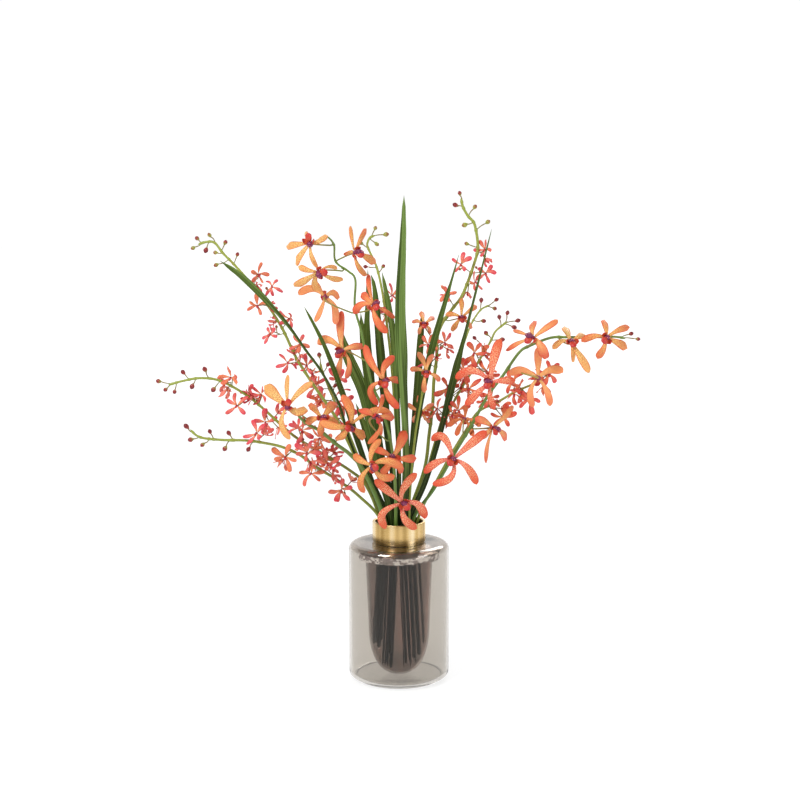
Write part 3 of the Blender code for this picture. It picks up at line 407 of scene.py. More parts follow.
class Value:
    """A shader socket that takes part in Python sums through Math nodes."""

    def __init__(self, graph: "Graph", socket: Socket) -> None:
        """Keep the socket and the graph that it belongs to."""
        self.graph = graph
        self.socket = socket

    def _math(self, operation: str, first: Any, second: Any) -> "Value":
        """One Math node on two values."""
        node = self.graph.node("ShaderNodeMath", {"operation": operation},
                               {0: first, 1: second})
        return Value(self.graph, node.outputs[0])

    def __add__(self, other: Any) -> "Value":
        """self + other."""
        return self._math("ADD", self, other)

    __radd__ = __add__

    def __sub__(self, other: Any) -> "Value":
        """self - other."""
        return self._math("SUBTRACT", self, other)

    def __rsub__(self, other: Any) -> "Value":
        """other - self."""
        return self._math("SUBTRACT", other, self)

    def __mul__(self, other: Any) -> "Value":
        """self * other."""
        return self._math("MULTIPLY", self, other)

    __rmul__ = __mul__

    def __truediv__(self, other: Any) -> "Value":
        """self / other."""
        return self._math("DIVIDE", self, other)

    def __pow__(self, other: Any) -> "Value":
        """self ** other."""
        return self._math("POWER", self, other)


class Graph:
    """The node tree of one material, or of the surroundings."""

    def __init__(self, name: str, surroundings: bool = False) -> None:
        """Make the material, or the world, with an output alone.

        Args:
            name: Its name.
            surroundings: True for the world around the scene.
        """
        kind = "World" if surroundings else "Material"
        store = bpy.data.worlds if surroundings else bpy.data.materials
        self.owner = store.new(name)
        self.owner.use_nodes = True
        self.tree = self.owner.node_tree
        self.tree.nodes.clear()
        self.output = self.tree.nodes.new("ShaderNodeOutput" + kind)

    def node(self, kind: str, settings: dict[str, Any] | None = None,
             inputs: dict[Any, Any] | None = None) -> bpy.types.Node:
        """Add a node, set it up and fill its sockets.

        Args:
            kind: The node's type.
            settings: Properties to set first; "stops" fills a colour ramp.
            inputs: Values or links by socket name or number.

        Returns:
            The node.
        """
        node = self.tree.nodes.new(kind)
        for key, setting in (settings or {}).items():
            if key == "stops":
                elements = node.color_ramp.elements
                while len(elements) < len(setting):
                    elements.new(0.5)
                for element, (position, colour) in zip(elements, setting):
                    element.position = position
                    element.color = colour
            else:
                setattr(node, key, setting)
        for key, given in (inputs or {}).items():
            if isinstance(given, Value):
                self.tree.links.new(given.socket, node.inputs[key])
            elif isinstance(given, Socket):
                self.tree.links.new(given, node.inputs[key])
            else:
                node.inputs[key].default_value = given
        return node

    def split(self, vector: Socket) -> tuple[Value, Value, Value]:
        """The three parts of a vector."""
        parts = self.node("ShaderNodeSeparateXYZ", None, {0: vector})
        return tuple(Value(self, socket) for socket in parts.outputs)

    def attribute(self, name: str) -> tuple[Value, Value, Value]:
        """The three numbers that a piece's vertices carry under a name."""
        source = self.node("ShaderNodeAttribute", {"attribute_name": name})
        return self.split(source.outputs["Vector"])

    def place(self) -> tuple[Value, Value, Value]:
        """Object coordinates, in metres."""
        return self.split(self.node("ShaderNodeTexCoord").outputs["Object"])

    def vessel_shade_mask(self) -> Value:
        """1 for what stands in the vessel, where stems and leaves get painted shade, 0 above it.
        """
        return self.fade(self.place()[2], *VESSEL_SHADE_HEIGHTS)

    def behind(self, depth: Value) -> Value:
        """1 for ways that lead behind the flowers, 0 for the others; depth is the way's y."""
        return self.fade(depth, *BEHIND)

    def join(self, x: Any, y: Any, z: Any = 0.0) -> Socket:
        """A vector from three values."""
        return self.node("ShaderNodeCombineXYZ", None, {0: x, 1: y, 2: z}).outputs[0]

    def fade(self, value: Value, low: float, high: float) -> Value:
        """A smooth step from 0 at low to 1 at high; low may be the larger."""
        node = self.node("ShaderNodeMapRange", {"interpolation_type": "SMOOTHSTEP"},
                         {"Value": value, "From Min": low, "From Max": high})
        return Value(self, node.outputs["Result"])

    def noise(self, vector: Any, scale: float, detail: float = 2.0) -> Value:
        """Noise around 0.5 at a scale."""
        node = self.node("ShaderNodeTexNoise", None,
                         {"Vector": vector, "Scale": scale, "Detail": detail})
        return Value(self, node.outputs[0])

    def cells(self, vector: Any, scale: float, loose: float = 1.0) -> Value:
        """Distance in the plane to the nearest of many loosely strewn points."""
        node = self.node("ShaderNodeTexVoronoi", {"voronoi_dimensions": "2D"},
                         {"Vector": vector, "Scale": scale, "Randomness": loose})
        return Value(self, node.outputs["Distance"])

    def ramp(self, value: Value, *stops: tuple[float, Colour]) -> Socket:
        """A colour ramp over a value."""
        return self.node("ShaderNodeValToRGB", {"stops": stops}, {0: value}).outputs[0]

    def mix(self, factor: Any, first: Any, second: Any) -> Socket:
        """Blend two colours."""
        node = self.node("ShaderNodeMix", {"data_type": "RGBA"},
                         {0: factor, 6: first, 7: second})
        return node.outputs[2]

    def bump(self, height: Value, depth: float, strength: float) -> Socket:
        """A normal that is bumped by a height."""
        node = self.node("ShaderNodeBump", None,
                         {"Strength": strength, "Distance": depth, "Height": height})
        return node.outputs[0]

    def surface(self, inputs: dict[str, Any]) -> Material:
        """Close the graph with a Principled shader.

        Args:
            inputs: Values or links by socket name.

        Returns:
            The finished material.
        """
        shader = self.node("ShaderNodeBsdfPrincipled", None, inputs)
        self.tree.links.new(shader.outputs[0], self.output.inputs["Surface"])
        return self.owner


# Finishes

@dataclass(frozen=True)
class PetalFinish:
    """Petals: root, middle and tip colours, a darker rim, rows of dots and long veins."""

    name: str
    root: Colour
    middle: Colour
    tip: Colour
    rim: Colour
    back: Colour
    dot: Colour
    dots: float
    spacing: float = 2.2
    reach: float = 0.85
    other: Colour = srgb(238, 160, 80)
    shift: float = 0.45

    def material(self) -> Material:
        """Build the petal material.

        Returns:
            The material.
        """
        graph = Graph(self.name)
        part, side, edge = graph.attribute("form")
        across, along, tone = graph.attribute("place")
        seed = tone * SEED_STEP
        spot = graph.join(across, along, seed)
        drift = graph.noise(graph.join(across * 0.5, along * 0.25, seed), 0.45, 3.0)
        body = graph.ramp(part + (drift - 0.5) * 0.45,
                          (0.08, self.root), (0.42, self.middle), (0.84, self.tip))
        body = graph.mix(graph.fade(tone, 0.35, 1.0) * self.shift, body, self.other)
        midrib = graph.fade(edge, 0.34, 0.0) * graph.fade(part, 0.75, 0.15)
        body = graph.mix(midrib * 0.55, body, self.root)
        rim = graph.fade(edge + (drift - 0.5) * 0.5, 0.62, 1.0)
        body = graph.mix(rim * 0.8, body, self.rim)
        lower = graph.fade(part, self.reach, self.reach * 0.5) * graph.fade(part, 0.0, 0.08)
        near = graph.cells(graph.join(across + seed, along + seed), 1 / self.spacing, 0.75)
        dots = graph.fade(near + (drift - 0.5) * 0.3, 0.40, 0.20)
        body = graph.mix(dots * lower * self.dots, body, self.dot)
        veins = graph.noise(graph.join(across * 1.4, along * 0.07, seed), 1.0, 3.0)
        body = graph.mix(graph.fade(veins, 0.50, 0.70) * 0.35, body, self.rim)
        body = graph.mix(graph.fade(side, 0.05, -0.35) * 0.5, body, self.back)
        height = veins * 0.7 + dots * 0.25 + graph.noise(spot, 1.2, 2.0) * 0.4
        return graph.surface({
            "Base Color": body, "Roughness": 0.46 + drift * 0.16,
            "Normal": graph.bump(height, 0.5 * MM, 0.8),
            "Subsurface Weight": 0.08, "Subsurface Scale": 0.002,
            "Subsurface Radius": (1.0, 0.4, 0.2), "Specular IOR Level": 0.35})


@dataclass(frozen=True)
class HeartFinish:
    """Columns and lips: one colour turning to another at the end and a little at the rims, with
    flecks; the column's pale flecks are painted highlights.
    """

    name: str
    base: Colour
    end: Colour
    fleck_and_glint: Colour

    def material(self) -> Material:
        """Build the heart material.

        Returns:
            The material.
        """
        graph = Graph(self.name)
        part, _, edge = graph.attribute("form")
        across, along, tone = graph.attribute("place")
        spot = graph.join(across, along, tone * SEED_STEP)
        mottle = graph.noise(spot, 0.7, 3.0)
        body = graph.ramp(part + (mottle - 0.5) * 0.4, (0.1, self.base), (0.9, self.end))
        # Flecks: on the column these pale pink flecks are painted highlights.
        flecks = graph.fade(graph.cells(graph.join(across, along), 0.8), 0.36, 0.20)
        body = graph.mix(flecks * 0.45, body, self.fleck_and_glint)
        body = graph.mix(graph.fade(edge, 0.6, 1.0) * 0.25, body, self.end)
        return graph.surface({
            "Base Color": body, "Roughness": 0.32 + mottle * 0.2,
            "Normal": graph.bump(mottle, 0.4 * MM, 0.5),
            "Subsurface Weight": 0.1, "Subsurface Scale": 0.002})


@dataclass(frozen=True)
class StemFinish:
    """Stems and stalks: one green at the foot, another at the tip, ribs and red flecks."""

    name: str
    foot: Colour
    tip: Colour
    blush: Colour
    blushed: float = 0.3

    def material(self) -> Material:
        """Build the stem material.

        Returns:
            The material.
        """
        graph = Graph(self.name)
        part, side, _ = graph.attribute("form")
        across, along, tone = graph.attribute("place")
        spot = graph.join(across, along * 0.12, tone * SEED_STEP)
        mottle = graph.noise(spot, 0.8, 3.0)
        body = graph.ramp(part + (mottle - 0.5) * 0.3, (0.1, self.foot), (0.9, self.tip))
        body = graph.mix(graph.fade(mottle, 0.52, 0.72) * self.blushed, body, self.blush)
        ribs = graph.noise(graph.join(across * 3.0, along * 0.04, side), 1.2, 2.0)
        body = graph.mix(graph.fade(ribs, 0.35, 0.65) * 0.3, body, self.foot)
        # Painted shade where the stem stands in the smoked vessel.
        body = graph.mix(graph.vessel_shade_mask() * 0.9, body, PAINTED_VESSEL_SHADE)
        return graph.surface({
            "Base Color": body, "Roughness": 0.38 + mottle * 0.2,
            "Normal": graph.bump(ribs, 0.3 * MM, 0.6)})


@dataclass(frozen=True)
class LeafFinish:
    """Strap leaves: a dark foot, partly painted shade where it goes into the vessel, a lighter
    tip, light long bands of painted sheen, dark long bands and fine veins.
    """

    name: str
    foot: Colour
    middle: Colour
    tip: Colour
    sheen_and_midrib: Colour
    back: Colour

    def material(self) -> Material:
        """Build the leaf material.

        Returns:
            The material.
        """
        graph = Graph(self.name)
        part, side, edge = graph.attribute("form")
        across, along, tone = graph.attribute("place")
        seed = tone * SEED_STEP
        bands = graph.noise(graph.join(across * 0.45, along * 0.004, seed), 1.0, 2.0)
        drift = graph.noise(graph.join(across * 0.1, along * 0.02, seed), 1.0, 3.0)
        # The dark foot colour is partly painted shade where the leaf goes down into the vessel.
        body = graph.ramp(part + (drift - 0.5) * 0.2, (0.28, self.foot), (0.52, self.middle),
                          (0.96, self.tip))
        # Painted sheen: light lengthwise bands, strongest on leaves whose light is high.
        light = graph.fade(bands + tone * 0.08, 0.48, 0.66) * graph.fade(tone, 0.0, 0.9)
        body = graph.mix(light * graph.fade(part, 0.3, 0.5) * 0.75, body, self.sheen_and_midrib)
        body = graph.mix(graph.fade(bands, 0.48, 0.34) * 0.45, body, self.foot)
        veins = graph.noise(graph.join(across * 2.4, along * 0.006, seed), 1.0, 3.0)
        body = graph.mix(graph.fade(veins, 0.52, 0.68) * 0.35, body, self.foot)
        keel = graph.fade(edge, 0.10, 0.0)
        body = graph.mix(keel * 0.5, body, self.sheen_and_midrib)
        body = graph.mix(graph.fade(side, 0.0, -0.5) * 0.4, body, self.back)
        # Painted shade where the leaf stands in the smoked vessel.
        body = graph.mix(graph.vessel_shade_mask() * 0.9, body, PAINTED_VESSEL_SHADE)
        height = veins + keel * 0.6
        return graph.surface({
            "Base Color": body, "Roughness": 0.40 + drift * 0.22,
            "Normal": graph.bump(height, 0.4 * MM, 0.7), "Specular IOR Level": 0.22})


@dataclass(frozen=True)
class BudFinish:
    """Buds: green where they leave the stalk, ripening to a darker tip, seamed."""

    name: str
    root: Colour
    middle: Colour
    tip: Colour

    def material(self) -> Material:
        """Build the bud material.

        Returns:
            The material.
        """
        graph = Graph(self.name)
        part, _, edge = graph.attribute("form")
        across, along, tone = graph.attribute("place")
        mottle = graph.noise(graph.join(across, along * 0.5, tone * SEED_STEP), 0.8, 3.0)
        ripe = part + (mottle - 0.5) * 0.5 + (tone - 0.5) * 0.5
        body = graph.ramp(ripe, (0.12, self.root), (0.38, self.middle), (0.85, self.tip))
        seam = graph.fade(edge, 0.16, 0.0)
        body = graph.mix(seam * 0.5, body, self.tip)
        return graph.surface({
            "Base Color": body, "Roughness": 0.30 + mottle * 0.2,
            "Normal": graph.bump(mottle - seam * 0.8, 0.4 * MM, 0.6),
            "Subsurface Weight": 0.08, "Subsurface Scale": 0.002})


@dataclass(frozen=True)
class ClearGlassFinish:
    """Thick clear glass with a warm grey cast, half mirrored across its shoulder; painted shade
    darkens its outline.
    """

    name: str
    tint: Colour
    edge: Colour
    mirror: Colour
    mirrored: float = 0.28
    shoulder: Point2 = (0.1965, 0.2045)
    ior: float = 1.32

    def material(self) -> Material:
        """Build the clear glass material.

        Returns:
            The material.
        """
        graph = Graph(self.name)
        x, y, z = graph.place()
        drift = graph.noise(graph.join(x, y, z * 0.35), 18.0, 2.0)
        top = graph.fade(z + (drift - 0.5) * 0.004, *self.shoulder)
        # Painted shade: the glass darkens towards its outline, where it is seen edge-on.
        outline_shade_weight = graph.node("ShaderNodeLayerWeight", None, {"Blend": 0.25})
        edge = Value(graph, outline_shade_weight.outputs["Facing"])
        body = graph.mix(graph.fade(edge, 0.5, 0.95) * 0.8, self.tint, self.edge)
        body = graph.mix(top, body, self.mirror)
        return graph.surface({
            "Base Color": body, "Metallic": top * self.mirrored, "Roughness": 0.02,
            "IOR": self.ior, "Transmission Weight": 1.0,
            "Normal": graph.bump(drift, 0.6 * MM, 0.3)})


@dataclass(frozen=True)
class SmokedGlassFinish:
    """Smoked see-through glass whose brim carries a ragged mirror coat."""

    name: str
    dark: Colour
    smoke: Colour
    warm: Colour
    mirror: Colour
    patch: Colour
    mirror_edge: float
    ior: float = 1.28

    def material(self) -> Material:
        """Build the smoked glass material.

        Returns:
            The material.
        """
        graph = Graph(self.name)
        x, y, z = graph.place()
        ragged = graph.noise(graph.join(x, y, z * 1.6), 60.0, 3.0)
        fine = graph.noise(graph.join(x, y, z * 1.6), 190.0, 2.0)
        height = z + (ragged - 0.5) * 0.016 + (fine - 0.5) * 0.008
        coat = graph.fade(height, self.mirror_edge - 0.001, self.mirror_edge + 0.001)
        streaks = graph.noise(graph.join(x, y, z * 0.06), 70.0, 3.0)
        smoke = graph.ramp(streaks, (0.36, self.dark), (0.5, self.smoke), (0.64, self.warm))
        body = graph.mix(coat, smoke, self.mirror)
        patches = graph.fade(ragged + (fine - 0.5) * 0.5, 0.58, 0.46)
        body = graph.mix(coat * patches * 0.85, body, self.patch)
        return graph.surface({
            "Base Color": body, "Metallic": coat, "Roughness": 0.03 + coat * 0.05,
            "IOR": self.ior, "Transmission Weight": 1.0,
            "Normal": graph.bump(streaks + ragged * 0.6, 0.8 * MM, 0.35)})


@dataclass(frozen=True)
class BrassFinish:
    """Satin brass, brushed round the ring, with lighter and darker upright bands painted on as
    reflections.
    """

    name: str
    light: Colour
    middle: Colour
    dark: Colour

    def material(self) -> Material:
        """Build the brass material.

        Returns:
            The material.
        """
        graph = Graph(self.name)
        x, y, z = graph.place()
        brush = graph.noise(graph.join(x * 0.04, y * 0.04, z), 2600.0, 2.0)
        # Painted reflections: broad upright bands of lighter and darker brass round the ring.
        bands = graph.noise(graph.join(x, y, 0.37), 62.0, 1.0)
        body = graph.ramp(bands + (brush - 0.5) * 0.1,
                          (0.34, self.dark), (0.5, self.middle), (0.66, self.light))
        return graph.surface({
            "Base Color": body, "Metallic": 1.0,
            "Roughness": 0.22 + brush * 0.12,
            "Normal": graph.bump(brush, 0.03 * MM, 0.5), "Anisotropic": 0.5})


@dataclass(frozen=True)
class FloorFinish:
    """The plain pale floor, which fades into the surroundings on every side."""

    name: str
    colour: Colour
    near: Colour
    dim: Colour
    bright: Colour
    glow_reach: Point2 = (1.0, 16.0)
    fade_reach: Point2 = (1.2, 9.0)

    def material(self) -> Material:
        """Build the floor material.

        Returns:
            The material.
        """
        graph = Graph(self.name)
        x, y, _ = graph.place()
        square = x * x + y * y
        glow = graph.mix(graph.fade(square, *self.glow_reach), self.near, self.bright)
        horizon = graph.mix(graph.behind(y / square ** 0.5), self.dim, self.bright)
        glow = graph.mix(graph.fade(square ** 0.5, *self.fade_reach), glow, horizon)
        return graph.surface({"Base Color": self.colour, "Roughness": 0.8,
                              "Specular IOR Level": 0.1, "Emission Color": glow,
                              "Emission Strength": 1.0})


# Lines and moulds

def place(points: Rows) -> list[Vector]:
    """Vectors in metres from places in millimetres."""
    return [Vector(point) * MM for point in points]


def clamp(value: float) -> float:
    """The value, held between 0 and 1."""
    return min(max(value, 0.0), 1.0)


def ease(value: float) -> float:
    """A smooth step from 0 to 1."""
    value = clamp(value)
    return value * value * (3 - 2 * value)


def spline_point(points: Sequence[Vector], index: int, part: float) -> Vector:
    """A point on the smooth curve through the points.

    Args:
        points: The points that the curve passes.
        index: The point that the curve has reached.
        part: How far it is from there to the next point, 0 to 1.

    Returns:
        The place.
    """
    last = len(points) - 1
    p0, p1 = points[max(index - 1, 0)], points[index]
    p2, p3 = points[min(index + 1, last)], points[min(index + 2, last)]
    square, cube = part * part, part ** 3
    return 0.5 * (2 * p1 + (p2 - p0) * part + (2 * p0 - 5 * p1 + 4 * p2 - p3) * square
                  + (3 * p1 - p0 - 3 * p2 + p3) * cube)


def smooth(points: Sequence[Vector], longest: float = 4 * MM) -> list[Vector]:
    """The route as a smooth curve of short runs.

    Args:
        points: The places that the curve passes.
        longest: The longest run.

    Returns:
        The curve, from the first place to the last.
    """
    result = []
    for index in range(len(points) - 1):
        run = (points[index + 1] - points[index]).length
        count = max(1, ceil(run / longest))
        result += [spline_point(points, index, step / count) for step in range(count)]
    return result + [points[-1]]


def arc(start: Vector, control: Vector, end: Vector, count: int = 16) -> list[Vector]:
    """Points of a simple arc from start to end, drawn towards control."""
    parts = [step / count for step in range(count + 1)]
    return [start * (1 - t) ** 2 + control * 2 * t * (1 - t) + end * t * t for t in parts]


def face_direction(yaw: float, pitch: float) -> Vector:
    """Where a bloom looks: yaw 0 is the front, and pitch lifts it; both in degrees.

    Args:
        yaw: Its turn to the right.
        pitch: Its lift.

    Returns:
        The direction.
    """
    yaw, pitch = radians(yaw), radians(pitch)
    level = cos(pitch)
    return Vector((sin(yaw) * level, -cos(yaw) * level, sin(pitch)))


class Line:
    """A route with its length, for finding places along it."""

    def __init__(self, points: Sequence[Vector]) -> None:
        """Keep the points and the distance of each from the first.

        Args:
            points: The route.
        """
        self.points = list(points)
        self.reached = [0.0]
        for first, second in zip(self.points, self.points[1:]):
            self.reached.append(self.reached[-1] + (second - first).length)

    @property
    def length(self) -> float:
        """The whole length."""
        return self.reached[-1]

    def at(self, distance: float) -> tuple[Vector, Vector]:
        """The point and direction at a distance from the first point.

        Args:
            distance: How far along the line.

        Returns:
            The point and the way that the line runs there.
        """
        for index, (first, second) in enumerate(zip(self.points, self.points[1:])):
            run = (second - first).length
            if distance <= self.reached[index + 1] and run > 0:
                share = max(distance - self.reached[index], 0.0) / run
                return first.lerp(second, share), (second - first) / run
        return self.points[-1].copy(), (self.points[-1] - self.points[-2]).normalized()

    def nearest(self, target: Vector) -> float:
        """Distance along the line of its point nearest to the target.

        Args:
            target: The place to come near.

        Returns:
            The distance from the first point.
        """
        best, where = inf, 0.0
        for index, (first, second) in enumerate(zip(self.points, self.points[1:])):
            run = second - first
            part = clamp((target - first).dot(run) / run.length_squared)
            miss = (first + run * part - target).length
            if miss < best:
                best, where = miss, self.reached[index] + run.length * part
        return where


class Spine:
    """A line cut into even rings, each with a side and a front direction."""

    def __init__(self, points: Sequence[Vector], rings: int, face: Vector | None = None,
                 twist: Point2 = (0.0, 0.0), crowd: float = 1.0) -> None:
        """Cut the line.

        Args:
            points: The line.
            rings: How many runs it gets.
            face: Where its front looks; without it the line turns freely.
            twist: Degrees of turn at the start and the end.
            crowd: Over 1, the rings lie closer and closer towards the end.
        """
        line = Line(points)
        self.rings = rings
        self.length = line.length
        self.parts = [1 - (1 - ring / rings) ** crowd for ring in range(rings + 1)]
        self.places = []
        self.sides = []
        self.fronts = []
        side = None
        for part in self.parts:
            place_here, along = line.at(line.length * part)
            if face is not None:
                side = face.cross(along)
                if side.length < PARALLEL:
                    side = UP.cross(along)
            elif side is None:
                side = along.cross(FRONT if abs(along.y) < 0.8 else UP)
            side = (side - along * side.dot(along)).normalized()
            front = along.cross(side)
            angle = radians(twist[0] + (twist[1] - twist[0]) * part)
            self.places.append(place_here)
            self.sides.append(side * cos(angle) + front * sin(angle))
            self.fronts.append(front * cos(angle) - side * sin(angle))


@dataclass
class Section:
    """The cross-section of a swept form: half width, half thickness and camber.

    Each rule takes the part of the length, and camber also the place across from -1 to 1.
    """

    half_width: Callable[[float], float]
    half_thickness: Callable[[float], float]
    camber: Callable[[float, float], float] = lambda part, across: 0.0
    thin_edge: float = 0.0

    def offset(self, part: float, angle: float) -> tuple[float, float, float]:
        """Sideways and forward step, and place across, of one point of a ring.

        Args:
            part: Part of the length.
            angle: The point's turn round the ring.

        Returns:
            The step sideways, the step forward and the place across.
        """
        across = cos(angle)
        through = sin(angle)
        depth = self.half_thickness(part) * through
        depth *= 1 - self.thin_edge * across * across
        return across * self.half_width(part), depth + self.camber(part, across), across


class Mould:
    """Gathers swept forms in one mesh and turns them into a finished piece."""

    def __init__(self) -> None:
        """Start an empty mesh with the two sets of numbers that the finishes read."""
        self.bm = bmesh.new()
        self.form = self.bm.verts.layers.float_vector.new("form")
        self.spot = self.bm.verts.layers.float_vector.new("place")

    def sweep(self, spine: Spine, section: Section, around: int, tone: float = 0.5,
              material: int = 0) -> None:
        """Bend a sphere's rings along a spine; its poles close the two ends.

        Args:
            spine: The line to follow.
            section: The shape across it.
            around: Points in each ring.
            tone: A number from 0 to 1 that varies the finish.
            material: Which of the piece's materials it wears.
        """
        made = bmesh.ops.create_uvsphere(self.bm, u_segments=around, v_segments=spine.rings,
                                         radius=1.0)["verts"]
        faces = set()
        for vert in made:
            turn = acos(min(max(vert.co.z, -1.0), 1.0)) / pi
            ring = spine.rings - round(turn * spine.rings)
            part = spine.parts[ring]
            if ring in (0, spine.rings):
                across_step, rise, across = 0.0, section.camber(part, 0.0), 0.0
                front = 0.0
            else:
                angle = atan2(vert.co.y, vert.co.x)
                across_step, rise, across = section.offset(part, angle)
                front = sin(angle)
            vert.co = (spine.places[ring] + spine.sides[ring] * across_step
                       + spine.fronts[ring] * rise)
            vert[self.form] = (part, front, abs(across))
            vert[self.spot] = (across_step / MM, part * spine.length / MM, tone)
            faces.update(vert.link_faces)
        for face in faces:
            face.material_index = material
            face.smooth = True

    def tube(self, points: Sequence[Vector], radius: Callable[[float], float], rings: int,
             around: int = 8, tone: float = 0.5, material: int = 0) -> None:
        """Sweep a round form along free points."""
        self.sweep(Spine(points, rings), Section(radius, radius), around, tone, material)

    def finish(self, name: str, materials: Materials, slot: str, node: str) -> None:
        """Make the object, hang it under the root body and hide the CAD part that it replaces.

        Args:
            name: The name.
            materials: Its materials in order.
            slot: The record's material slot; not used.
            node: The CAD node that it replaces.
        """
        mesh = bpy.data.meshes.new(name)
        self.bm.to_mesh(mesh)
        self.bm.free()
        for material in materials:
            mesh.materials.append(material)
        piece = bpy.data.objects.new(name, mesh)
        bpy.context.scene.collection.objects.link(piece)
        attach(piece, "root")
        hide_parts(node)
        LOG.info("%s: %d faces", name, len(mesh.polygons))


# Vase

def fillet(corner: Point2, before: Point2, after: Point2, radius: float,
           steps: int) -> list[Vector]:
    """Points of the arc that rounds a corner of a turned profile.

    Args:
        corner: The sharp corner (radius, height).
        before: A point before it on the profile.
        after: A point after it.
        radius: The arc's radius.
        steps: Runs of the arc.

    Returns:
        The arc's points.
    """
    corner, before, after = Vector(corner), Vector(before), Vector(after)
    inward = (before - corner).normalized()
    outward = (after - corner).normalized()
    half_angle = inward.angle(outward) / 2
    centre = corner + (inward + outward).normalized() * radius / sin(half_angle)
    start = (corner + inward * radius / tan(half_angle) - centre).normalized()
    end = (corner + outward * radius / tan(half_angle) - centre).normalized()
    return [centre + start.slerp(end, step / steps) * radius for step in range(steps + 1)]


def rounded(*corners: Sequence[float], before: Point2 | None = None,
            after: Point2 | None = None) -> list[Sequence[float]]:
    """A profile whose corners are rounded where they say so.

    Args:
        corners: (radius, height), or the same with the arc's radius and its runs.
        before: A point that the line comes from at the first corner.
        after: A point that the line goes to at the last one.

    Returns:
        The profile's places.
    """
    ends = [before] + [corner[:2] for corner in corners] + [after]
    profile = []
    for index, corner in enumerate(corners):
        if len(corner) == 2:
            profile.append(corner)
        else:
            profile += fillet(ends[index + 1], ends[index], ends[index + 2], *corner[2:])
    return profile


